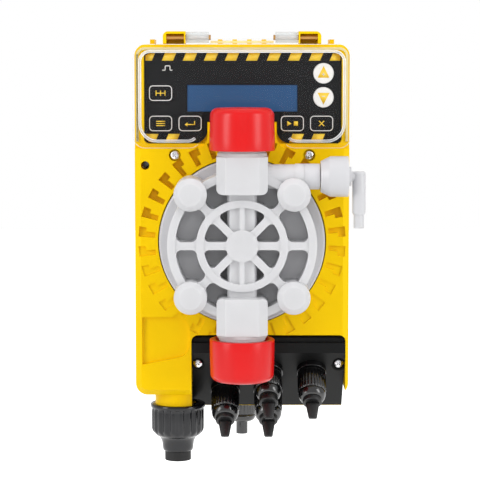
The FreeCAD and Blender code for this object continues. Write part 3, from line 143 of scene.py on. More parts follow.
for side, way in (("left", -1), ("right", 1)):
    soft_panel(side + " panel", (way * 0.98, -0.75, 0.32), (0.42, 0.9), 6.6)
soft_panel("top panel", (0, -0.35, 1.0), (0.9, 0.6), 3.6, mirrored=False)
soft_panel("front panel", (0, -1.6, 0.5), (0.8, 0.5), 2.2, mirrored=False)

# %% [markdown]
# The photo's background is pure white, but a surround that bright would wash the pump out. A Light Path
# node tells the rays apart. What the camera sees, straight on, in a reflection or through the clear
# cover, is white, and the light that reaches the pump from there is under half of that.

# %% White surround and floor
SURROUND_LIGHT = 0.46
FLOOR_REACH, FLOOR_HEIGHT = 4, -0.36
FLOOR_GREY = 0.9


def shown_white(tree, plain, bright):
    """A strength that is bright for what is seen and plain for the light itself."""
    light_path = tree.nodes.new("ShaderNodeLightPath")
    seen = light_path.outputs["Is Camera Ray"]
    for ray in ("Is Glossy Ray", "Is Transmission Ray"):
        either = tree.nodes.new("ShaderNodeMath")
        either.operation = "MAXIMUM"
        tree.links.new(seen, either.inputs[0])
        tree.links.new(light_path.outputs[ray], either.inputs[1])
        seen = either.outputs[0]
    mix = tree.nodes.new("ShaderNodeMix")
    mix.inputs["A"].default_value = plain
    mix.inputs["B"].default_value = bright
    tree.links.new(seen, mix.inputs["Factor"])
    return mix.outputs["Result"]


world = bpy.data.worlds.new("white surround")
bpy.context.scene.world = world
world.use_nodes = True
background = world.node_tree.nodes["Background"]
background.inputs["Color"].default_value = (1, 1, 1, 1)
world.node_tree.links.new(shown_white(world.node_tree, SURROUND_LIGHT, 1.0), background.inputs["Strength"])

floor_mesh = bpy.data.meshes.new("floor")
floor_corners = [(x * FLOOR_REACH, y * FLOOR_REACH, FLOOR_HEIGHT)
                 for x, y in ((-1, -1), (1, -1), (1, 1), (-1, 1))]
floor_mesh.from_pydata(floor_corners, [], [(0, 1, 2, 3)])
floor = added("floor", floor_mesh)
floor_paint = bpy.data.materials.new("pale floor")
floor_paint.use_nodes = True
tree = floor_paint.node_tree
paint = tree.nodes["Principled BSDF"]
paint.inputs["Base Color"].default_value = (FLOOR_GREY, FLOOR_GREY, FLOOR_GREY, 1)
paint.inputs["Roughness"].default_value = 0.9
paint.inputs["Emission Color"].default_value = (1, 1, 1, 1)
tree.links.new(shown_white(tree, 0.0, 1.0), paint.inputs["Emission Strength"])
floor_mesh.materials.append(floor_paint)

# %% [markdown]
# Every finish on this pump is a moulded plastic, a rubber or a plated metal. One flat colour would look
# like paper, and a picture would need unwrapping. So each finish gets a base colour that drifts a little
# over the piece, a roughness that drifts with it, and a fine grain as bump, at the scale of a real mould
# texture. One helper makes them all from Object coordinates.

# %% Finish helper
ROUGH_LESS, ROUGH_MORE = 0.05, 0.07
GRAIN_HEIGHT = 0.0001


def linear(rgb):
    """Linear values of a colour that is given as 0 to 255 for each channel."""
    shares = [channel / 255 for channel in rgb]
    return [share / 12.92 if share <= 0.04045 else ((share + 0.055) / 1.055) ** 2.4 for share in shares]


def patches(tree, where, size_mm, detail):
    """Noise whose patches are about a size across."""
    noise = tree.nodes.new("ShaderNodeTexNoise")
    noise.inputs["Scale"].default_value = 1000 / size_mm
    noise.inputs["Detail"].default_value = detail
    tree.links.new(where.outputs["Object"], noise.inputs["Vector"])
    return noise.outputs["Fac"]


def between(tree, value, low, high):
    """A value from 0 to 1, spread between two others."""
    spread = tree.nodes.new("ShaderNodeMapRange")
    spread.inputs["To Min"].default_value = low
    spread.inputs["To Max"].default_value = high
    tree.links.new(value, spread.inputs["Value"])
    return spread.outputs["Result"]


def finish(name, rgb, rough=0.4, metal=0.0, grain=0.1, grain_mm=0.6, drift=0.05, drift_mm=18, coat=0.0,
           gloss=0.5):
    """A Principled material with drifting colour and roughness and a fine bump."""
    material = bpy.data.materials.new(name)
    material.use_nodes = True
    tree = material.node_tree
    shader = tree.nodes["Principled BSDF"]
    where = tree.nodes.new("ShaderNodeTexCoord")
    wide = patches(tree, where, drift_mm, 4)
    ramp = tree.nodes.new("ShaderNodeValToRGB")
    for stop, place, change in zip(ramp.color_ramp.elements, (0.3, 0.7), (1 - drift, 1 + drift)):
        stop.position = place
        stop.color = (*[min(channel * change, 1) for channel in linear(rgb)], 1)
    tree.links.new(wide, ramp.inputs["Fac"])
    tree.links.new(ramp.outputs["Color"], shader.inputs["Base Color"])
    tree.links.new(between(tree, wide, rough - ROUGH_LESS, rough + ROUGH_MORE), shader.inputs["Roughness"])
    shader.inputs["Metallic"].default_value = metal
    shader.inputs["Coat Weight"].default_value = coat
    shader.inputs["Specular IOR Level"].default_value = gloss
    if grain:
        bump = tree.nodes.new("ShaderNodeBump")
        bump.inputs["Strength"].default_value = grain
        bump.inputs["Distance"].default_value = GRAIN_HEIGHT
        tree.links.new(patches(tree, where, grain_mm, 3), bump.inputs["Height"])
        tree.links.new(bump.outputs["Normal"], shader.inputs["Normal"])
    return material


print("cap red in linear values:", [round(value, 3) for value in linear((214, 4, 6))])

# %% [markdown]
# The hinged cover is a thin clear moulding. Glass with real refraction would be noisy and would need
# walls of an exact thickness. Alpha does it more plainly: it rises where the surface turns away from the
# eye, and the pale colour that shows there is a painted reflection. Its rims and bars are thick, so they
# get painted pale light and painted highlights.

# %% Clear plastics and their painted light
EDGE_ON = 0.35


def clear(name, rgb, edge=0.5, face_on=0.005):
    """A clear moulding: nearly unseen face on, with a painted pale reflection where the surface turns away.
    """
    material = finish(name, rgb, rough=0.1, grain=0.0, drift=0.02, gloss=0.3)
    tree = material.node_tree
    turn = tree.nodes.new("ShaderNodeLayerWeight")
    turn.inputs["Blend"].default_value = EDGE_ON
    alpha = between(tree, turn.outputs["Facing"], face_on, edge)
    tree.links.new(alpha, tree.nodes["Principled BSDF"].inputs["Alpha"])
    return material


def painted_light_layer(name, rgb, cover):
    """Painted light for a clear plastic where it is thick or cut: a flat colour that lets part of the ground
    through.
    """
    material = finish(name, rgb, rough=0.2, grain=0.0, drift=0.02)
    material.node_tree.nodes["Principled BSDF"].inputs["Alpha"].default_value = cover
    return material


# Painted light of the clear cover: a pale band in its thick walls, highlights on its edges and the housing's
# yellow in its bar.
PAINTED_WALL_LIGHT = painted_light_layer("haze in the clear cover", (232, 236, 238), 0.42)
PAINTED_GLINT = painted_light_layer("painted glint on the clear cover edges", (250, 252, 255), 0.85)
PAINTED_BAR_LIGHT = painted_light_layer("painted yellow light in the cover bar", (250, 226, 150), 0.6)
print("painted light of the cover:", PAINTED_WALL_LIGHT.name, PAINTED_GLINT.name, PAINTED_BAR_LIGHT.name, sep=", ")

# %% [markdown]
# Now the finishes themselves, one for each material slot of the record. The housing is a satin yellow,
# the head a brighter white than its grey disc, the caps a glossy red, and the glands a shiny black nylon
# beside a dull terminal cover. The colours were set against the photo, after the lamps.

# %% Finishes of the pump
FINISHES = {
    "housing_yellow": finish("housing yellow", (245, 202, 0), rough=0.34, grain=0.12, drift=0.02, gloss=0.1),
    "gasket_rubber": finish("black rubber", (16, 16, 16), rough=0.6, grain=0.3, gloss=0.35),
    "seal_pale": finish("pale silicone", (222, 206, 150), rough=0.5),
    "screw_steel": finish("bright screw steel", (205, 205, 208), rough=0.22, metal=1.0, grain=0.05),
    "panel_black": finish("black keypad film", (16, 16, 18), grain=0.0, drift=0.1, gloss=0.15),
    "display_glass": finish("blue display", (42, 80, 124), rough=0.3, grain=0.0, drift_mm=30, gloss=0.2),
    "board_green": finish("green board", (18, 92, 52), grain=0.2, grain_mm=1.2),
    "key_black": finish("black key film", (16, 16, 18), grain=0.0, gloss=0.15),
    "key_white": finish("white key film", (240, 240, 238), rough=0.35, grain_mm=0.4, drift=0.02),
    "clear_plastic": clear("clear cover plastic", (214, 221, 223)),
    "steel": finish("zinc plated steel", (170, 172, 176), rough=0.35, metal=1.0, grain=0.15),
    "copper": finish("enamelled copper wire", (184, 100, 52), rough=0.3, metal=1.0, grain=0.5, grain_mm=0.4),
    "bobbin_nylon": finish("natural nylon", (222, 214, 190), rough=0.45),
    "bush_bronze": finish("sintered bronze", (186, 140, 80), rough=0.45, metal=1.0, grain=0.4, grain_mm=0.3),
    "plate_grey": finish("light grey plate", (192, 192, 196), rough=0.45, grain=0.15, drift=0.02),
    "membrane": finish("faced membrane", (226, 224, 216), rough=0.55, grain=0.2),
    "head_white": finish("white moulded head", (207, 207, 209), rough=0.36, grain_mm=1.0, drift=0.02,
                         gloss=0.4),
    "ceramic_white": finish("polished ceramic", (240, 237, 228), rough=0.1, grain=0.0, coat=0.5),
    "cap_red": finish("red cap plastic", (214, 4, 6), rough=0.29, grain_mm=1.2, drift=0.03, gloss=0.33),
    "nozzle_white": finish("milky nozzle plastic", (203, 203, 206), rough=0.28, grain=0.08, drift=0.02),
    "terminal_black": finish("black terminal cover", (12, 13, 13), rough=0.5, grain=0.3, grain_mm=0.5,
                             drift=0.08, gloss=0.15),
    "gland_black": finish("glossy black nylon", (9, 9, 10), rough=0.15, grain_mm=1.5, drift=0.1, gloss=0.7),
    "gland_grey": finish("dark grey nylon", (12, 13, 18), rough=0.17, grain_mm=1.5, drift=0.08, gloss=0.4),
}
PLUG_BLACK = finish("satin black nylon", (15, 15, 16), rough=0.42, drift=0.1, gloss=0.4)
PRINT_YELLOW = finish("yellow panel print", (255, 214, 58), grain_mm=0.3, drift=0.02)
PRINT_WHITE = finish("white panel print", (235, 235, 235), grain_mm=0.3, drift=0.02)
print("finishes for", len(FINISHES), "slots")

# %% [markdown]
# The head and the bleed nozzle are white plastics that light enters a few millimetres deep. Without
# that, the pockets between the spokes would turn dark. Subsurface scattering gives it at little cost,
# with the same reach for all three colours, because the plastic is a neutral white.

# %% Depth of the white plastics
GLOW_SHARE, GLOW_REACH = 0.35, 0.005
for slot in ("head_white", "nozzle_white"):
    shader = FINISHES[slot].node_tree.nodes["Principled BSDF"]
    shader.inputs["Subsurface Weight"].default_value = GLOW_SHARE
    shader.inputs["Subsurface Radius"].default_value = (1.0, 1.0, 1.0)
    shader.inputs["Subsurface Scale"].default_value = GLOW_REACH
    print(slot, "scatters light within", GLOW_REACH, "m")

# %% [markdown]
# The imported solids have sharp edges, and no moulded edge is truly sharp. A narrow bevel catches the
# light along every rim, as the radius of a mould does. It could be cut in the solids, but there it would
# slow every check. The triangles are merged by a Weld first, so that the bevel finds real edges, and
# weighted normals keep the flats flat. Wound wires are round already and get none.

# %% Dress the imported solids
SLOT_OF = {part["node"]: part["material_slot"] for part in frame["record"]["subparts"]}
EDGE_MM = {"clear_cover": 0.35, "pump_head": 0.8, "front_housing": 0.35, "terminal_cover": 0.25,
           "solenoid_coil": 0.0, "return_spring": 0.0, "hinge_pins": 0.15, "control_panel": 0.12,
           "lcd_module": 0.1, "back_plate": 0.4}
COMMON_EDGE_MM = 0.2
WELD_MM = 0.005
SHARP_FROM = math.radians(35)


def weld(piece):
    """Merges the corners of triangles that lie loose beside each other."""
    step = piece.modifiers.new("weld", "WELD")
    step.merge_threshold = WELD_MM * MM


def soften(piece, width_mm):
    """Weld, a rounded bevel and even normals, as modifiers."""
    weld(piece)
    if width_mm:
        bevel = piece.modifiers.new("soft edges", "BEVEL")
        bevel.width = width_mm * MM
        bevel.segments = 3
        bevel.limit_method = "ANGLE"
        bevel.angle_limit = SHARP_FROM
        bevel.use_clamp_overlap = True
        bevel.harden_normals = False
    even = piece.modifiers.new("even normals", "WEIGHTED_NORMAL")
    even.keep_sharp = True


for name, piece in nodes.items():
    piece.data.materials.clear()
    piece.data.materials.append(FINISHES[SLOT_OF[name]])
    soften(piece, EDGE_MM.get(name, COMMON_EDGE_MM))
print("dressed", len(nodes), "nodes,", len(EDGE_MM), "with an edge of their own")

# %% [markdown]
# Caps, nuts and screws are turned shapes: one profile swept round an axis. A Screw modifier could do it
# for a piece that stands upright, but ours also lie and slope. A helper makes them from (radius,
# distance) pairs in millimetres instead, along any of the pump's directions.

# %% Turned pieces
SLOPE = math.sqrt(0.5)
WAYS = {
    "up": ((1, 0, 0), (0, 1, 0), (0, 0, 1)),
    "down": ((1, 0, 0), (0, -1, 0), (0, 0, -1)),
    "front": ((1, 0, 0), (0, 0, 1), (0, -1, 0)),
    "right": ((0, 1, 0), (0, 0, 1), (1, 0, 0)),
    "slope": ((1, 0, 0), (0, -SLOPE, SLOPE), (0, -SLOPE, -SLOPE)),
}


def stand(at, way):
    """The matrix that takes a piece drawn round Z, in mm, to (x, depth, z) and a direction."""
    turn = Matrix(WAYS[way]).transposed().to_4x4()
    return Matrix.Translation(Vector((at[0], -at[1], at[2])) * MM) @ turn @ Matrix.Scale(MM, 4)


def spun(profile, at, way, steps=72, groove=None):
    """Vertices and faces of (radius, along) points turned round an axis. A third number per point is
    how deep a groove is there, and the groove function gives its share of that at an angle."""
    matrix = stand(at, way)
    vertices, faces = [], []
    for step in range(steps):
        angle = 2 * math.pi * step / steps
        share = groove(angle) if groove else 0
        for radius, along, *deep in profile:
            reach = radius - sum(deep) * share
            vertices.append(matrix @ Vector((reach * math.cos(angle), reach * math.sin(angle), along)))
    count = len(profile)
    for step in range(steps):
        near, far = step * count, (step + 1) % steps * count
        faces += [(near + n, near + n + 1, far + n + 1, far + n) for n in range(count - 1)]
    return vertices, faces


def arc(centre, radius, start, end, steps=6):
    """Points of an arc, with its angles in degrees."""
    angles = [math.radians(start + (end - start) * step / steps) for step in range(steps + 1)]
    return [(centre[0] + radius * math.cos(angle), centre[1] + radius * math.sin(angle)) for angle in angles]


print("a quarter round of 1 mm:", [(round(a, 2), round(b, 2)) for a, b in arc((0, 0), 1, 0, 90, 3)])

# %% [markdown]
# A shape becomes a piece once its mesh is clean: doubles on the axis are merged, and then the faces are
# turned outwards, because a swept profile can come out inside out. Several shapes of one kind are
# joined in one piece, as four bolt covers are, which keeps the list of pieces short.

# %% From a shape to a piece
MERGE_WITHIN = 1e-7


def piece_from(name, vertices, faces, material, smooth=True):
    """A clean piece at the origin, with its place in its mesh."""
    mesh = bpy.data.meshes.new(name)
    mesh.from_pydata([tuple(vertex) for vertex in vertices], [], faces)
    work = bmesh.new()
    work.from_mesh(mesh)
    bmesh.ops.remove_doubles(work, verts=work.verts, dist=MERGE_WITHIN)
    bmesh.ops.recalc_face_normals(work, faces=work.faces)
    for face in work.faces:
        face.smooth = smooth
    work.to_mesh(mesh)
    work.free()
    mesh.materials.append(material)
    return added(name, mesh)


def many(name, shapes, material):
    """One piece out of several (vertices, faces) shapes."""
    vertices, faces = [], []
    for shape_vertices, shape_faces in shapes:
        shift = len(vertices)
        vertices += shape_vertices
        faces += [tuple(corner + shift for corner in face) for face in shape_faces]
    piece = piece_from(name, vertices, faces, material)
    print(name, len(piece.data.polygons), "faces")
    return piece


def carried_out(piece):
    """A plain mesh of a piece with its modifiers carried out."""
    return bpy.data.meshes.new_from_object(piece.evaluated_get(bpy.context.evaluated_depsgraph_get()))


print("points within", MERGE_WITHIN, "m of each other become one")

# %% [markdown]
# The red caps keep dust out of the ports. They are soft, slightly tapered cups with a generous radius at
# the closed end and a plain rolled rim. A bevel can't make two such different radii on one solid, so
# their profile is drawn with real arcs, from the rim over the outside and back through the inside.

# %% Port caps
PORT_DEPTH = middle("discharge_cap")[1]
CAP_RADIUS = span("discharge_cap")[0][1]
CAP_RIM, CAP_END = span("discharge_cap")[2]
RIM_ROUND, END_ROUND = 0.6, 4.4
CAP_MOUTH, CAP_BORE = 15.6, 12.6
CAP_STEP = CAP_RIM + 7.0
CAP_CEILING = CAP_END - 3.4

cap_profile = [(CAP_MOUTH, CAP_RIM)]
cap_profile += arc((CAP_RADIUS - RIM_ROUND, CAP_RIM + RIM_ROUND), RIM_ROUND, -90, 0, 4)
cap_profile += [(CAP_RADIUS - 0.02, CAP_RIM + 5.7), (CAP_RADIUS - 0.15, CAP_RIM + 11.7)]
cap_profile += arc((CAP_RADIUS - 4.8, CAP_END - 4.6), END_ROUND, 6, 90, 10)
cap_profile += [(9.0, CAP_END - 0.05), (4.5, CAP_END), (0, CAP_END)]
cap_profile += [(0, CAP_CEILING), (CAP_BORE, CAP_CEILING), (CAP_BORE, CAP_STEP), (CAP_MOUTH, CAP_STEP)]
cap_profile += [(CAP_MOUTH, CAP_RIM)]
for port, way in (("discharge", "up"), ("suction", "down")):
    cap = many(port + "_cap_soft", [spun(cap_profile, (0, PORT_DEPTH, 0), way, 96)], FINISHES["cap_red"])
    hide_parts(port + "_cap")
    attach(cap, port + "_cap")

# %% [markdown]
# Four domed covers hide the head bolts. On the real head they are shallow cones with a soft shoulder,
# pushed into the bolt wells by a short neck. They are turned too, because the cone and its two radii
# blend into each other, and one joined piece holds all four, as they never move apart.

# %% Bolt covers
COVER_RADIUS, COVER_NECK = 9.5, 4.9
COVER_BACK, COVER_END = span("bolt_caps")[1]
COVER_SKIRT = COVER_BACK + 1.6
BOLT_REACH = span("bolt_caps")[0][1] - COVER_RADIUS

dome = [(0, COVER_BACK), (COVER_NECK, COVER_BACK), (COVER_NECK, COVER_SKIRT), (9.0, COVER_SKIRT)]
dome += arc((COVER_RADIUS - 0.6, COVER_SKIRT + 0.6), 0.6, -90, 0, 3)
dome += arc((COVER_RADIUS - 1.2, COVER_END - 3.4), 1.2, 0, 52, 4)
dome += arc((5.9, COVER_END - 1.1), 1.1, 52, 90, 4) + [(0, COVER_END)]
sides = (-BOLT_REACH, BOLT_REACH)
domes = [spun(dome, (x, 0, z), "front", 48) for x in sides for z in sides]
covers = many("bolt_covers", domes, FINISHES["head_white"])
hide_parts("bolt_caps")
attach(covers, "root")

# %% [markdown]
# Flat outlines come up again and again: prints, key frames, corner fills and cover edges. Curves with
# an extrusion would do, but they have to be made a mesh before their place is applied. The helpers
# below stand an outline of (x, z) points on a depth, as a prism or as a closed band, and are exact.

# %% Flat shapes
INK = 0.05


def prism(outline, depth, thick=INK):
    """Vertices and faces of a flat outline of (x, z), in mm, standing on a depth."""
    count = len(outline)
    vertices = [Vector((x, -level, z)) * MM for level in (depth, depth + thick) for x, z in outline]
    faces = [tuple(range(count)), tuple(range(2 * count - 1, count - 1, -1))]
    faces += [(n, (n + 1) % count, (n + 1) % count + count, n + count) for n in range(count)]
    return vertices, faces


def band(outer, inner, depth, thick=INK):
    """A closed band between two outlines with the same number of points."""
    count = len(outer)
    rows = [(outer, depth), (outer, depth + thick), (inner, depth + thick), (inner, depth)]
    vertices = [Vector((x, -level, z)) * MM for outline, level in rows for x, z in outline]
    faces = []
    for here in range(count):
        ahead = (here + 1) % count
        for row in range(4):
            this, next_row = row * count, (row + 1) % 4 * count
            faces.append((this + here, this + ahead, next_row + ahead, next_row + here))
    return vertices, faces


def rounded(x, z, wide, tall, radius):
    """A rectangle with round corners, as (x, z) points."""
    points = []
    for turn, (x_side, z_side) in enumerate(((1, 1), (-1, 1), (-1, -1), (1, -1))):
        centre = (x + x_side * (wide / 2 - radius), z + z_side * (tall / 2 - radius))
        points += arc(centre, radius, turn * 90, turn * 90 + 90)
    return points


def bar(x1, z1, x2, z2, width):
    """A straight stroke from point to point."""
    length = math.hypot(x2 - x1, z2 - z1)
    across_x, across_z = -(z2 - z1) / length * width / 2, (x2 - x1) / length * width / 2
    return [(x1 + across_x, z1 + across_z), (x2 + across_x, z2 + across_z),
            (x2 - across_x, z2 - across_z), (x1 - across_x, z1 - across_z)]


print("a key outline has", len(rounded(0, 0, 13.5, 9.0, 2.3)), "points")

# %% [markdown]
# The head is a wheel: a hub, two rings and eight spokes over a hollow pocket, with a boss at each bolt
# and a square valve block above and below. The mould gives every pocket corner a radius, which the
# solids leave out. A bevel on the upright edges would run into the ribs beside it. Small prisms with one
# hollow side are surer: they fill each corner between a circle and a spoke, and nothing else.

# %% Corners between a circle and a spoke
SPOKE_HALF, SPOKE_FRONT, POCKET_FLOOR = 2.25, 128.4, 111.5
INTO = 0.5


def corner_fill(circle, radius, turn, side, outward):
    """A prism that rounds the corner between a circle and one side of the spoke at an angle in degrees,
    on the outside or on the inside of the circle."""
    reach = circle + radius if outward else circle - radius
    up = SPOKE_HALF + radius
    along = math.sqrt(reach ** 2 - up ** 2)
    touch = circle / reach
    end = math.degrees(math.atan2(up, along)) - (180 if outward else 0)
    inset = -INTO if outward else INTO
    tip = math.sqrt(circle ** 2 - SPOKE_HALF ** 2) + inset
    outline = arc((along, up), radius, -90, end, 7)
    outline += [(along * touch + inset, up * touch), (tip, up * touch * 0.5 + SPOKE_HALF * 0.5),
                (tip, SPOKE_HALF - INTO), (along, SPOKE_HALF - INTO)]
    cos, sin = math.cos(math.radians(turn)), math.sin(math.radians(turn))
    turned = [(u * cos - v * side * sin, u * sin + v * side * cos) for u, v in outline]
    return prism(turned, POCKET_FLOOR, SPOKE_FRONT - POCKET_FLOOR)


print("one fill has", len(corner_fill(9.2, 1.6, 0, 1, outward=True)[0]), "vertices")

# %% [markdown]
# The corners repeat round the wheel, so a loop sets them at six of the eight spokes; the upright two
# lie under the valve blocks. The slanting spokes end in bolt bosses instead of the rim, where the same
# corner is moved out to the bolt. On the valve blocks, the corners that face the hub stand out, so they
# are rounded in the other way: prisms take the sharp corner off and leave a round one.

# %% Fills and cuts of the head
HUB, RING_IN, RING_OUT, RIM_IN = 9.2, 22.0, 26.3, 38.2
HUB_FILLET, INNER_FILLET, OUTER_FILLET, BOSS_FILLET = 1.6, 2.4, 3.2, 3.0
BLOCK_HALF, BLOCK_EDGE, BLOCK_ROUND = 14.6, 29.7, 3.2
BLOCK_BACK, BLOCK_CUT = 111.9, 26.0


def boss_fill(radius, turn, side):
    """The corner where a slanting spoke runs into a bolt boss."""
    vertices, faces = corner_fill(COVER_RADIUS, radius, turn + 180, side, outward=True)
    angle = math.radians(turn)
    shift = Vector((math.cos(angle), 0, math.sin(angle))) * BOLT_REACH * math.sqrt(2) * MM
    return [vertex + shift for vertex in vertices], faces


def corner_cut(x_side, z_side):
    """A prism that takes the corner off a valve block and leaves a round one."""
    outside, beyond = BLOCK_HALF + INTO, BLOCK_EDGE - INTO
    inner, upper = BLOCK_HALF - BLOCK_ROUND, BLOCK_EDGE + BLOCK_ROUND
    points = [(outside, upper), (outside, beyond), (inner, beyond)]
    points += arc((inner, upper), BLOCK_ROUND, -90, 0, 7)
    return prism([(x * x_side, z * z_side) for x, z in points], BLOCK_BACK, BLOCK_CUT)


fills = []
for turn in (0, 45, 135, 180, 225, 315):
    for side in (1, -1):
        fills.append(corner_fill(RING_IN, INNER_FILLET, turn, side, outward=False))
        fills.append(corner_fill(HUB, HUB_FILLET, turn, side, outward=True))
        fills.append(corner_fill(RING_OUT, OUTER_FILLET, turn, side, outward=True))
        if turn in (0, 180):
            fills.append(corner_fill(RIM_IN, OUTER_FILLET, turn, side, outward=False))
        else:
            fills.append(boss_fill(BOSS_FILLET, turn, side))
cuts = [corner_cut(x_side, z_side) for x_side in (1, -1) for z_side in (1, -1)]
print("fills:", len(fills), "cuts:", len(cuts))

# %% [markdown]
# A Boolean for each prism would leave slivers where they meet, so all fills are one tool and all cuts
# another. They work on a copy of the head, before its bevel, so that one soft edge runs round each
# pocket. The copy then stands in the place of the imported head.

# %% Head with round corners
soft_head = added("pump_head_soft", nodes["pump_head"].data.copy())
weld(soft_head)
tools = []
for operation, shapes in (("UNION", fills), ("DIFFERENCE", cuts)):
    tools.append(many("head_" + operation.lower(), shapes, FINISHES["head_white"]))
    step = soft_head.modifiers.new(operation.lower(), "BOOLEAN")
    step.operation = operation
    step.solver = "EXACT"
    step.object = tools[-1]
joined = carried_out(soft_head)
soft_head.modifiers.clear()
soft_head.data = joined
for face in joined.polygons:
    face.use_smooth = False
for tool in tools:
    bpy.data.objects.remove(tool)
soften(soft_head, EDGE_MM["pump_head"])
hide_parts("pump_head")
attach(soft_head, "root")
print("head with round corners:", len(joined.polygons), "faces")

# %% [markdown]
# The keypad film is printed with hazard stripes, and screws and glands repeat too. Copies made by a
# Python loop would work, but Geometry Nodes keep the count and the step as named inputs that can be
# turned later. Every tree ends in the same way: instances of a seed piece, made real and dressed.

# %% Repeats with Geometry Nodes
def new_tree(name, *inputs):
    """An empty tree with a geometry output and named inputs: (name, socket type, value)."""
    tree = bpy.data.node_groups.new(name, "GeometryNodeTree")
    tree.interface.new_socket("Geometry", in_out="OUTPUT", socket_type="NodeSocketGeometry")
    for label, kind, value in inputs:
        socket = tree.interface.new_socket(label, in_out="INPUT", socket_type=kind)
        socket.default_value = value
    return tree, tree.nodes.new("NodeGroupInput")


def repeat(name, tree, points, seed_piece, material):
    """Sets the seed piece at the points, keeps the result as a plain mesh and drops the seed."""
    seed = tree.nodes.new("GeometryNodeObjectInfo")
    seed.inputs["Object"].default_value = seed_piece
    copies = tree.nodes.new("GeometryNodeInstanceOnPoints")
    real = tree.nodes.new("GeometryNodeRealizeInstances")
    dressed = tree.nodes.new("GeometryNodeSetMaterial")
    dressed.inputs["Material"].default_value = material
    out = tree.nodes.new("NodeGroupOutput")
    tree.links.new(points, copies.inputs["Points"])
    tree.links.new(seed.outputs["Geometry"], copies.inputs["Instance"])
    tree.links.new(copies.outputs["Instances"], real.inputs["Geometry"])
    tree.links.new(real.outputs["Geometry"], dressed.inputs["Geometry"])
    tree.links.new(dressed.outputs["Geometry"], out.inputs["Geometry"])
    piece = added(name, bpy.data.meshes.new(name))
    run = piece.modifiers.new("repeat", "NODES")
    run.node_group = tree
    flat = carried_out(piece)
    piece.modifiers.remove(run)
    piece.data = flat
    if not flat.materials:
        flat.materials.append(material)
    bpy.data.objects.remove(seed_piece)
    print(name, len(flat.polygons), "faces")
    return piece


def in_a_row(name, seed_piece, material, count, start, step):
    """Copies of a piece along a line, with the start and the step in mm."""
    tree, given = new_tree(
        name + " row", ("Count", "NodeSocketInt", count),
        ("Start", "NodeSocketVector", Vector(start) * MM), ("Step", "NodeSocketVector", Vector(step) * MM))
    line = tree.nodes.new("GeometryNodeMeshLine")
    for label, socket in (("Count", "Count"), ("Start", "Start Location"), ("Step", "Offset")):
        tree.links.new(given.outputs[label], line.inputs[socket])
    return repeat(name, tree, line.outputs["Mesh"], seed_piece, material)


def at_points(name, seed_piece, material, places):
    """Copies of a piece at a list of places in mm, which are joined as points inside the tree."""
    labels = ["Place %d" % number for number in range(len(places))]
    tree, given = new_tree(name + " set", *[(label, "NodeSocketVector", Vector(place) * MM)
                                            for label, place in zip(labels, places)])
    join = tree.nodes.new("GeometryNodeJoinGeometry")
    for label in labels:
        point = tree.nodes.new("GeometryNodePoints")
        tree.links.new(given.outputs[label], point.inputs["Position"])
        tree.links.new(point.outputs["Points"], join.inputs["Geometry"])
    return repeat(name, tree, join.outputs["Geometry"], seed_piece, material)


print("node groups before the first repeat:", len(bpy.data.node_groups))

# %% [markdown]
# Hazard stripes run along the upper and the lower edge of the panel. A texture could paint them, but
# its edges would blur at this size. On the real film the ink lies a few hundredths of a millimetre
# proud, so thin prisms stand for it. The upper row is one slanted stripe, repeated; those at the ends
# are cut off by the panel's round corners, so they have outlines of their own.

# %% Hazard stripes
PANEL_DEPTH = span("control_panel")[1][1]
STRIPE, PITCH, SLANT = 6.6, 12.26, 0.42
TOP_ROW, LOW_ROW = (105.3, 109.9), (57.6, 62.6)
TOP_STRIPES, FIRST_STRIPE = 8, -46.9
LOW_STRIPES = (-45.2, 27.6, 39.9)


def stripe(low, high, left=0.0):
    """One slanted stripe from a low to a high edge."""
    lean = (high - low) * SLANT
    return [(left, low), (left + STRIPE, low), (left + STRIPE + lean, high), (left + lean, high)]


seed = many("stripe_seed", [prism(stripe(*TOP_ROW), PANEL_DEPTH)], PRINT_YELLOW)
top_stripes = in_a_row("top_stripes", seed, PRINT_YELLOW, TOP_STRIPES, (FIRST_STRIPE, 0, 0), (PITCH, 0, 0))
outlines = [[(-56.4, 105.3), (-52.7, 105.3), (-50.8, 109.6), (-54.6, 109.6), (-56.4, 108.4)],
            [(51.1, 105.3), (57.4, 105.3), (57.4, 107.8), (56.3, 109.6), (53.0, 109.6)]]
outlines += [stripe(*LOW_ROW, left) for left in LOW_STRIPES]
outlines += [[(-54.6, 57.8), (-50.9, 57.6), (-48.9, 62.6), (-56.4, 62.6), (-56.4, 60.0)]]
end_stripes = many("end_stripes", [prism(outline, PANEL_DEPTH) for outline in outlines], PRINT_YELLOW)

# %% [markdown]
# A small pulse is printed above the left end of the display: one line with square corners. We list the
# six points that it runs through and lay a stroke between each two, because a stroke is easy to widen.
# Then all three prints are given to the housing, which they never leave.

# %% Pulse sign
PULSE_STROKE = 0.55
wave = [(-46.7, 99.8), (-44.9, 99.8), (-44.9, 102.3), (-42.1, 102.3), (-42.1, 99.8), (-40.7, 99.8)]
strokes = [prism(bar(*start, *end, PULSE_STROKE), PANEL_DEPTH) for start, end in zip(wave, wave[1:])]
pulse_sign = many("pulse_sign", strokes, PRINT_WHITE)
for piece in (top_stripes, end_stripes, pulse_sign):
    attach(piece, "root")

# %% [markdown]
# Five keys have a white frame and a yellow sign for what the key does: two marks to set a stroke, a
# list, an arrow for enter, start and stop, and a cross. They are drawn from strokes and corners round
# the middle of the key, which comes from the solid, and they ride on it, so that they go in with it.

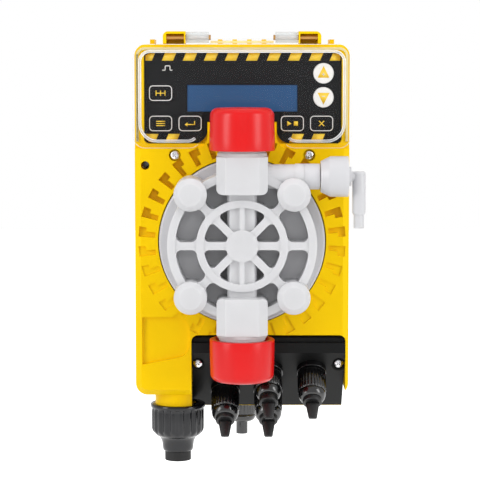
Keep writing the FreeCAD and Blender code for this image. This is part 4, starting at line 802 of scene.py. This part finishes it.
# %% Key frames and signs
KEY_DEPTH = span("key_mode")[1][1]
FRAME_WIDE, FRAME_TALL, FRAME_ROUND, FRAME_LINE = 13.5, 9.0, 2.3, 0.5
LAYER = 0.005
KEY_SIGNS = {
    "calibrate": [bar(-2.6, -1.6, -2.6, 1.6, 0.5), bar(0, -1.6, 0, 1.6, 0.5), bar(2.6, -1.6, 2.6, 1.6, 0.5),
                  bar(-2.9, 0, 2.9, 0, 0.5)],
    "program": [bar(-2.6, height, 2.6, height, 0.55) for height in (-1.25, 0, 1.25)],
    "mode": [bar(-2.2, -0.6, 2.6, -0.6, 0.55), bar(2.6, -0.87, 2.6, 1.5, 0.55),
             [(-3.2, -0.6), (-1.5, 0.65), (-1.5, -1.85)]],
    "start": [[(-3.0, -1.5), (-0.4, 0), (-3.0, 1.5)], [(0.9, -1.3), (3.3, -1.3), (3.3, 1.3), (0.9, 1.3)]],
    "escape": [bar(-1.5, -1.5, 1.5, 1.5, 0.6), bar(-1.5, 1.5, 1.5, -1.5, 0.6)],
}
for key, outlines in KEY_SIGNS.items():
    x, _, z = middle("key_" + key)
    outer = rounded(x, z, FRAME_WIDE, FRAME_TALL, FRAME_ROUND)
    inner = rounded(x, z, FRAME_WIDE - 2 * FRAME_LINE, FRAME_TALL - 2 * FRAME_LINE, FRAME_ROUND - FRAME_LINE)
    frame_line = many(key + "_frame", [band(outer, inner, KEY_DEPTH)], PRINT_WHITE)
    shapes = [prism([(x + across, z + up) for across, up in outline], KEY_DEPTH + number * LAYER)
              for number, outline in enumerate(outlines)]
    sign = many(key + "_sign", shapes, PRINT_YELLOW)
    for piece in (frame_line, sign):
        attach(piece, "key_" + key)

# %% [markdown]
# The two round white keys carry a yellow arrow each, up and down, with a small plus or minus on it.
# The mark lies on the arrow, one layer of ink higher, because two faces at the same depth would flicker.

# %% Arrows on the round keys
ARROW_HALF, ARROW_FOOT, ARROW_TIP = 3.5, 2.6, 4.3
MARK_STROKE, MARK_INK = 0.45, 0.03
for key, way in (("up", 1), ("down", -1)):
    x, _, z = middle("key_" + key)
    foot = z - way * ARROW_FOOT
    triangle = [(x - ARROW_HALF, foot), (x + ARROW_HALF, foot), (x, z + way * ARROW_TIP)]
    arrow = many(key + "_arrow", [prism(triangle, KEY_DEPTH)], PRINT_YELLOW)
    marks = [bar(x - 0.9, z - way * 0.6, x + 0.9, z - way * 0.6, MARK_STROKE)]
    if key == "up":
        marks.append(bar(x, z - 1.5, x, z + 0.3, MARK_STROKE))
    mark = many(key + "_mark", [prism(outline, KEY_DEPTH + INK, MARK_INK) for outline in marks], PRINT_WHITE)
    for piece in (arrow, mark):
        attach(piece, "key_" + key)

# %% [markdown]
# The screws are small but bright, so their domed head and cross recess show. A bump would not hold up
# on a curved head this small, so one screw is turned from a profile and a real cross is cut out of it
# with a Boolean. The recess gets narrower towards its floor, as the driver's tip does.

# %% Cross-head screw
CROSS_TURN, CROSS_FLOOR = 35, 0.45


def screw_seed(head, shank, thick, length):
    """A pan-head screw in mm, drawn at the origin and turned to the front, with its head on the origin."""
    rim = thick * 0.35
    dome = [(0, -length), (shank * 0.5, -length), (shank, shank - length), (shank, 0), (head, 0), (head, rim)]
    for turn in (0.35, 0.7, 1.05, 1.35):
        dome.append((head * math.cos(turn), rim + (thick - rim) * math.sin(turn)))
    dome.append((0, thick))
    screw = many("screw_seed", [spun(dome, (0, 0, 0), "front", 40)], FINISHES["screw_steel"])
    wide, slim, deep = head * 0.62, head * 0.13, thick * 0.62
    for turn, extra in ((0, 1.0), (90, 1.09)):
        angle = math.radians(turn + CROSS_TURN)
        slot = [(a * math.cos(angle) - b * math.sin(angle), a * math.sin(angle) + b * math.cos(angle))
                for a, b in ((-wide, -slim), (wide, -slim), (wide, slim), (-wide, slim))]
        vertices, faces = prism(slot, thick - deep, deep + extra)
        for corner in vertices[:4]:
            corner.x *= CROSS_FLOOR
            corner.z *= CROSS_FLOOR
        tool = piece_from("cross", vertices, faces, FINISHES["screw_steel"], smooth=False)
        carve = screw.modifiers.new("cross", "BOOLEAN")
        carve.object = tool
        carve.solver = "EXACT"
        carved = carried_out(screw)
        screw.modifiers.clear()
        screw.data = carved
        bpy.data.objects.remove(tool)
    return screw


print("the cross stands", CROSS_TURN, "degrees off the upright")

# %% [markdown]
# Screws show at three places: two case screws below the clear cover, two more in the bay behind the
# terminal cover, and two in the terminal cover itself. Their sides and seats come from the solids. Only
# the heights of the case screws and the left one in the bay, which no box gives, are typed in.

# %% Screws at their holes
HEAD_THICK = 2.2
CASE_HEAD, TERMINAL_HEAD = 3.15, 3.0
CASE_HIGH, CASE_LOW, LOW_LEFT = 50.5, -83.6, -19.5
case_left, low_right = span("case_screws")[0]
case_left += CASE_HEAD
case_seat = HEAD_THICK - span("case_screws")[1][1]
bay_seat = -span("terminal_cover")[1][0]
terminal_left, terminal_right = span("terminal_cover_screws")[0]
terminal_seat = HEAD_THICK - span("terminal_cover_screws")[1][1]
terminal_height = middle("terminal_cover_screws")[2]

steel = FINISHES["screw_steel"]
case_set = at_points("case_screw_set", screw_seed(CASE_HEAD, 1.55, HEAD_THICK, 40), steel,
                     [(side * case_left, case_seat, CASE_HIGH) for side in (1, -1)])
low_set = at_points("low_screw_set", screw_seed(CASE_HEAD, 1.55, HEAD_THICK, 17), steel,
                    [(x, bay_seat, CASE_LOW) for x in (LOW_LEFT, low_right - CASE_HEAD)])
terminal_set = at_points("terminal_screw_set", screw_seed(TERMINAL_HEAD, 1.45, HEAD_THICK, 29), steel,
                         [(x, terminal_seat, terminal_height)
                          for x in (terminal_left + TERMINAL_HEAD, terminal_right - TERMINAL_HEAD)])
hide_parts("case_screws")
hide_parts("terminal_cover_screws")
for piece in (case_set, low_set, terminal_set):
    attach(piece, "root")

# %% [markdown]
# Gland nuts are gripped by hand, so they are fluted, with a smooth domed end that squeezes the seal.
# Cutting each flute would be slow and leave thin faces. Instead the turned profile gets a third number
# per point, the depth of the flutes there, and a wave round the axis takes it off the radius.

# %% Profile of a fluted nut
NUT_RIBS, NUT_FLUTE = 26, 0.45
NUT_SEAT, NUT_THREAD, NUT_THREAD_END, CABLE_HOLE = 4.0, 6.95, 13.0, 3.6


def fluted(profile, at, way, ribs, steps_per_rib=8):
    """A turned shape with grooves between ribs, which are narrower than the ribs by a squared wave."""
    def groove(angle):
        return (0.5 + 0.5 * math.cos(angle * ribs)) ** 2
    return spun(profile, at, way, ribs * steps_per_rib, groove)


def domed_nut(radius, shoulder, end, tip):
    """Profile of a gland nut: fluted barrel, narrow waist, glossy dome down to the tip, bore."""
    waist, dome_foot, dome_radius = radius - 0.8, shoulder + 0.25, radius - 0.35
    rows = [(NUT_THREAD, NUT_SEAT, 0), (radius - 0.5, NUT_SEAT, 0), (radius, NUT_SEAT + 0.5, NUT_FLUTE),
            (radius, shoulder - 1.3, NUT_FLUTE), (radius - 0.3, shoulder - 0.7, NUT_FLUTE * 0.4),
            (waist, shoulder - 0.5, 0), (waist, shoulder, 0), (dome_radius, dome_foot, 0)]
    for step in range(1, 9):
        turn = math.radians(90 * step / 8)
        across, down = (dome_radius - tip) * math.cos(turn), (end - dome_foot) * math.sin(turn)
        rows.append((tip + across, dome_foot + down, 0))
    rows += [(CABLE_HOLE, end, 0), (CABLE_HOLE, shoulder, 0), (NUT_THREAD, NUT_THREAD_END, 0)]
    return rows + [(NUT_THREAD, NUT_SEAT, 0)]


print("grooves", NUT_FLUTE, "mm deep between", NUT_RIBS, "ribs")

# %% [markdown]
# Each unused gland is closed by a plug: a round disc with a flat tapered wing to pull it by. The disc is
# turned and the wing lofted, four rings of eight corners that get smaller towards the tip, because no
# turned shape is flat.

# %% Winged plug
WING_RINGS = [(4.0, 25.0, 1.5), (3.9, 26.0, 1.35), (2.5, 34.9, 0.9), (2.2, 35.6, 0.6)]


def wing_ring(half, along, thick):
    """Eight corners of a flat ring: half its width, its distance along the plug and half its thickness."""
    quarter = [(half, thick * 0.4), (half * 0.7, thick)]
    upper = quarter + [(-x, y) for x, y in reversed(quarter)]
    lower = [(x, -y) for x, y in reversed(upper)]
    return [Vector((x, y, along)) for x, y in upper + lower]


def winged_plug():
    """The disc and the wing, as shapes at the origin, on the slope."""
    disc = [(0, 20.0), (5.4, 20.0), (5.6, 22.7)] + arc((5.0, 24.4), 0.6, 0, 90, 4) + [(3.6, 25.1), (0, 25.3)]
    matrix = stand((0, 0, 0), "slope")
    corners = [matrix @ corner for ring in WING_RINGS for corner in wing_ring(*ring)]
    faces = []
    for ring in range(len(WING_RINGS) - 1):
        for n in range(8):
            here, ahead = ring * 8 + n, ring * 8 + (n + 1) % 8
            faces.append((here, ahead, ahead + 8, here + 8))
    faces += [tuple(range(8)), tuple(range(31, 23, -1))]
    return [spun(disc, (0, 0, 0), "slope", 48), (corners, faces)]


print("wing", round(WING_RINGS[-1][1] - WING_RINGS[0][1], 1), "mm long")

# %% [markdown]
# Four glands stand on the slope of the terminal cover, in two rows, and point down to the front. Their
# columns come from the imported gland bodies. The port cap comes down close to the second one, so its nut
# is a shorter and slimmer one. A fifth gland hangs straight down under the rear housing.

# %% Signal glands
BODY_RADIUS = 8.75
SLOPE_FRONT, SLOPE_HEIGHT = span("terminal_cover")[1][1], -65.8
LOW_GLANDS, HIGH_GLANDS = 34.5, 15.7
# radius, shoulder, end and tip of the nuts on the slope, near the cap and at the rear
NUT_SIZES = (8.4, 17.6, 22.4, 5.7), (7.9, 15.2, 20.4, 5.5), (9.1, 23.4, 27.8, 5.9)
left, right = span("signal_gland_bodies")[0]
left, right = left + BODY_RADIUS, right - BODY_RADIUS
centre = (left + right) / 2
black = FINISHES["gland_black"]

gland_places = []
for x, down in ((left, LOW_GLANDS), (centre, HIGH_GLANDS), (centre, LOW_GLANDS), (right, HIGH_GLANDS)):
    gland_places.append((x, down * SLOPE - SLOPE_FRONT, SLOPE_HEIGHT - down * SLOPE))
first, near_cap, *others = gland_places
common_nut, small_nut, rear_profile = [domed_nut(*sizes) for sizes in NUT_SIZES]
nut_seed = many("nut_seed", [fluted(common_nut, (0, 0, 0), "slope", NUT_RIBS)], black)
nuts = at_points("signal_nut_set", nut_seed, black, [first, *others])
short_seed = many("short_seed", [fluted(small_nut, (0, 0, 0), "slope", NUT_RIBS)], black)
short_nut = at_points("signal_nut_near_cap", short_seed, black, [near_cap])
plug_seed = many("plug_seed", winged_plug(), PLUG_BLACK)
plugs = at_points("signal_plug_set", plug_seed, PLUG_BLACK, gland_places)
rear_at = (0, middle("rear_gland_nut")[1], span("rear_housing")[2][0])
rear_nut = many("rear_nut_fluted", [fluted(rear_profile, rear_at, "down", NUT_RIBS)], black)
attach(short_nut, "root")
for piece, node in ((nuts, "signal_gland_nuts"), (plugs, "signal_gland_plugs"), (rear_nut, "rear_gland_nut")):
    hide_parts(node)
    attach(piece, "root")

# %% [markdown]
# The terminal cover ends a little short of the foot of the housing, where light would show through. The
# photo shows none, so a lip on the real cover most likely closes that gap. A small plain prism is enough
# for it, because only its dark edge is ever seen.

# %% Lip of the terminal cover
cover_left, cover_back = span("terminal_cover")[0][0], span("terminal_cover")[1][0]
lip_left, lip_right, lip_bottom, lip_top = cover_left - 3.0, cover_left + 0.1, -104, -88
lip_outline = [(lip_left, lip_bottom), (lip_right, lip_bottom), (lip_right, lip_top), (lip_left, lip_top)]
lip = many("terminal_cover_lip", [prism(lip_outline, cover_back - 0.5, 3.0)], FINISHES["terminal_black"])
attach(lip, "root")

# %% [markdown]
# The gland for the mains cable is the largest, of a dark grey nylon: a flange, a barrel with coarse
# flutes and a bell that draws in to the cable. The imported nut is plain, because flutes would burden its
# checks. Here it is turned anew with twenty flutes, and the bell is a quarter of an ellipse, worked out
# by a formula.

# %% Mains cable gland
MAINS_RIBS, MAINS_BORE, BELL_TIP = 20, 9.05, 8.0
BELL_RADIUS, BELL_IN, BELL_FOOT, BELL_DOWN = 13.9, 4.6, 18.9, 7.0
mains_x, mains_depth, _ = middle("power_gland_nut")
mains_bottom, mains_top = span("power_gland_nut")[2]
mains_long = mains_top - mains_bottom
barrel = [(MAINS_BORE, 0, 0), (16.0, 0, 0), (16.3, 0.3, 0), (16.3, 1.9, 0), (16.0, 2.3, 0), (15.5, 2.8, 0.9),
          (15.7, 4.3, 1.1), (15.7, 14.9, 1.1), (15.4, 16.1, 0.9), (14.7, 17.2, 0.3), (BELL_RADIUS, 18.2, 0)]
for turn in [math.radians(10 * step) for step in range(1, 10)]:
    barrel.append((BELL_RADIUS - BELL_IN * math.sin(turn), BELL_FOOT + BELL_DOWN * (1 - math.cos(turn)), 0))
barrel += [(9.0, mains_long - 0.6, 0), (8.6, mains_long, 0), (BELL_TIP, mains_long, 0)]
barrel += [(BELL_TIP, mains_long - 5.6, 0), (MAINS_BORE, 13.8, 0), (MAINS_BORE, 0, 0)]
power_nut = many("power_nut_fluted", [fluted(barrel, (mains_x, mains_depth, mains_top), "down", MAINS_RIBS)],
                 FINISHES["gland_grey"])
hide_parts("power_gland_nut")
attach(power_nut, "root")

# %% [markdown]
# Two pieces inside give way when the drive moves: the return spring gets shorter, and the diaphragm is
# pushed from behind. Shape keys could bend them; here each only gets a merged copy with a mesh of its
# own, in place of the imported one.

# %% Spring and diaphragm that give way
drive = [joint for joint in frame["record"]["behaviour"]["joints"] if joint["name"] == "drive_stroke"][0]
for soft in drive["deforming_nodes"]:
    name, held = soft["node"], soft["fixed_end_y_m"]
    solid = nodes[name].data
    live = piece_from(name + "_live", [vertex.co for vertex in solid.vertices],
                      [tuple(face.vertices) for face in solid.polygons], FINISHES[SLOT_OF[name]],
                      smooth=name == "return_spring")
    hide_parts(name)
    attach(live, "root")
    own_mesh(live)

# %% [markdown]
# A clear cover is read from its edges: the walls gather light and show as pale bands, and the rims
# glint. Real refraction would give that after many samples. Bands inside the walls of the solid show it
# at once, so we need the cover's outline: a rectangle with round corners and a notch for the port cap.

# %% Outline of the clear cover
CORNER_STEPS = 8
NOTCH_FROM, NOTCH_TO = 14, 40


def notched(half, bottom, top, arch_half, arch_top, radii, inset):
    """Points of the outline of the cover, drawn in by an inset, with its round corners."""
    half, bottom, top = half - inset, bottom + inset, top - inset
    arch_half, arch_top = arch_half + inset, arch_top + inset
    corners = [(-half, bottom), (-arch_half, bottom), (-arch_half, arch_top), (arch_half, arch_top),
               (arch_half, bottom), (half, bottom), (half, top), (-half, top)]
    points = []
    for number, corner in enumerate(corners):
        here = Vector(corner)
        back = (Vector(corners[number - 1]) - here).normalized()
        ahead = (Vector(corners[(number + 1) % len(corners)]) - here).normalized()
        radius = radii[number] + (inset if number in (2, 3) else -inset)
        centre = here + (back + ahead) * radius
        for step in range(CORNER_STEPS + 1):
            turn = math.radians(90 * step / CORNER_STEPS)
            points.append(tuple(centre - radius * (ahead * math.cos(turn) + back * math.sin(turn))))
    return points


def strip(outline, near, far, depth, thick):
    """A band between two insets of an outline, left open along the notch."""
    sides = []
    for inset in (near, far):
        points = notched(*outline, inset)
        sides.append(points[NOTCH_TO:] + points[:NOTCH_FROM])
    return prism(sides[0] + sides[1][::-1], depth, thick)


print("points of the outline in its notch:", NOTCH_TO - NOTCH_FROM)

# %% [markdown]
# The cover is a dome on a flange. Both outlines come from the solid's box: the dome stands 3.4 mm inside
# the flange. Painted pale light fills the dome's wall, and thin painted highlights run along its two edges
# and along the rim of the flange. Two knuckles on the hinge pins get the painted pale light too, and the bar
# to open it by is painted with the housing's yellow, as light seen through it. Clear pieces throw no shadow,
# since the keypad under the real cover is evenly lit.

# %% Painted light on the edges of the clear cover
flange_half, (flange_bottom, _) = span("clear_cover")[0][1], span("clear_cover")[2]
FLANGE_TOP, ARCH_HALF, ARCH_TOP = 115.0, 23.5, 81.5
DOME_IN, ARCH_IN = 3.4, 1.2
FLANGE = (flange_half, flange_bottom, FLANGE_TOP, ARCH_HALF, ARCH_TOP, (7, 7, 9, 9, 7, 7, 7, 7))
DOME = (flange_half - DOME_IN, flange_bottom + DOME_IN, FLANGE_TOP - DOME_IN, ARCH_HALF + ARCH_IN,
        ARCH_TOP + ARCH_IN, (11, 7, 9, 9, 7, 11, 7, 7))
PAINTED_WALL_LIGHT_DEPTH, DOME_FRONT, FLANGE_FRONT = 98.05, 100.78, 97.78
KNUCKLE_IN, KNUCKLE_OUT, KNUCKLE_LONG = 1.75, 2.95, 13.2
_, pin_depth, pin_height = middle("hinge_pins")

knuckle = [(KNUCKLE_IN, 0), (KNUCKLE_OUT, 0), (KNUCKLE_OUT, KNUCKLE_LONG), (KNUCKLE_IN, KNUCKLE_LONG)]
knuckle += knuckle[:1]
# Painted pale light in the dome's wall and in the two hinge knuckles.
haze = [strip(DOME, 0.1, 1.7, PAINTED_WALL_LIGHT_DEPTH, 2.7)]
haze += [spun(knuckle, (x, pin_depth, pin_height), "right", 32) for x in (19.4, -32.6)]
# Painted highlights along the dome's two edges and the flange's rim.
glints = [strip(DOME, 0.1, 0.4, DOME_FRONT, 0.1), strip(DOME, 1.4, 1.7, DOME_FRONT, 0.1),
          strip(FLANGE, 0.1, 0.35, FLANGE_FRONT, 0.12)]
# Painted yellow light in the bar to open the cover by.
pull = [prism([(-18.4, 115.3), (18.4, 115.3), (18.4, 116.9), (-18.4, 116.9)], 96.3, 1.4)]
nodes["clear_cover"].visible_shadow = False
for label, shapes, material in (("haze", haze, PAINTED_WALL_LIGHT), ("glints", glints, PAINTED_GLINT), ("pull_bar", pull, PAINTED_BAR_LIGHT)):
    piece = many("cover_" + label, shapes, material)
    piece.visible_shadow = False
    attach(piece, "clear_cover")
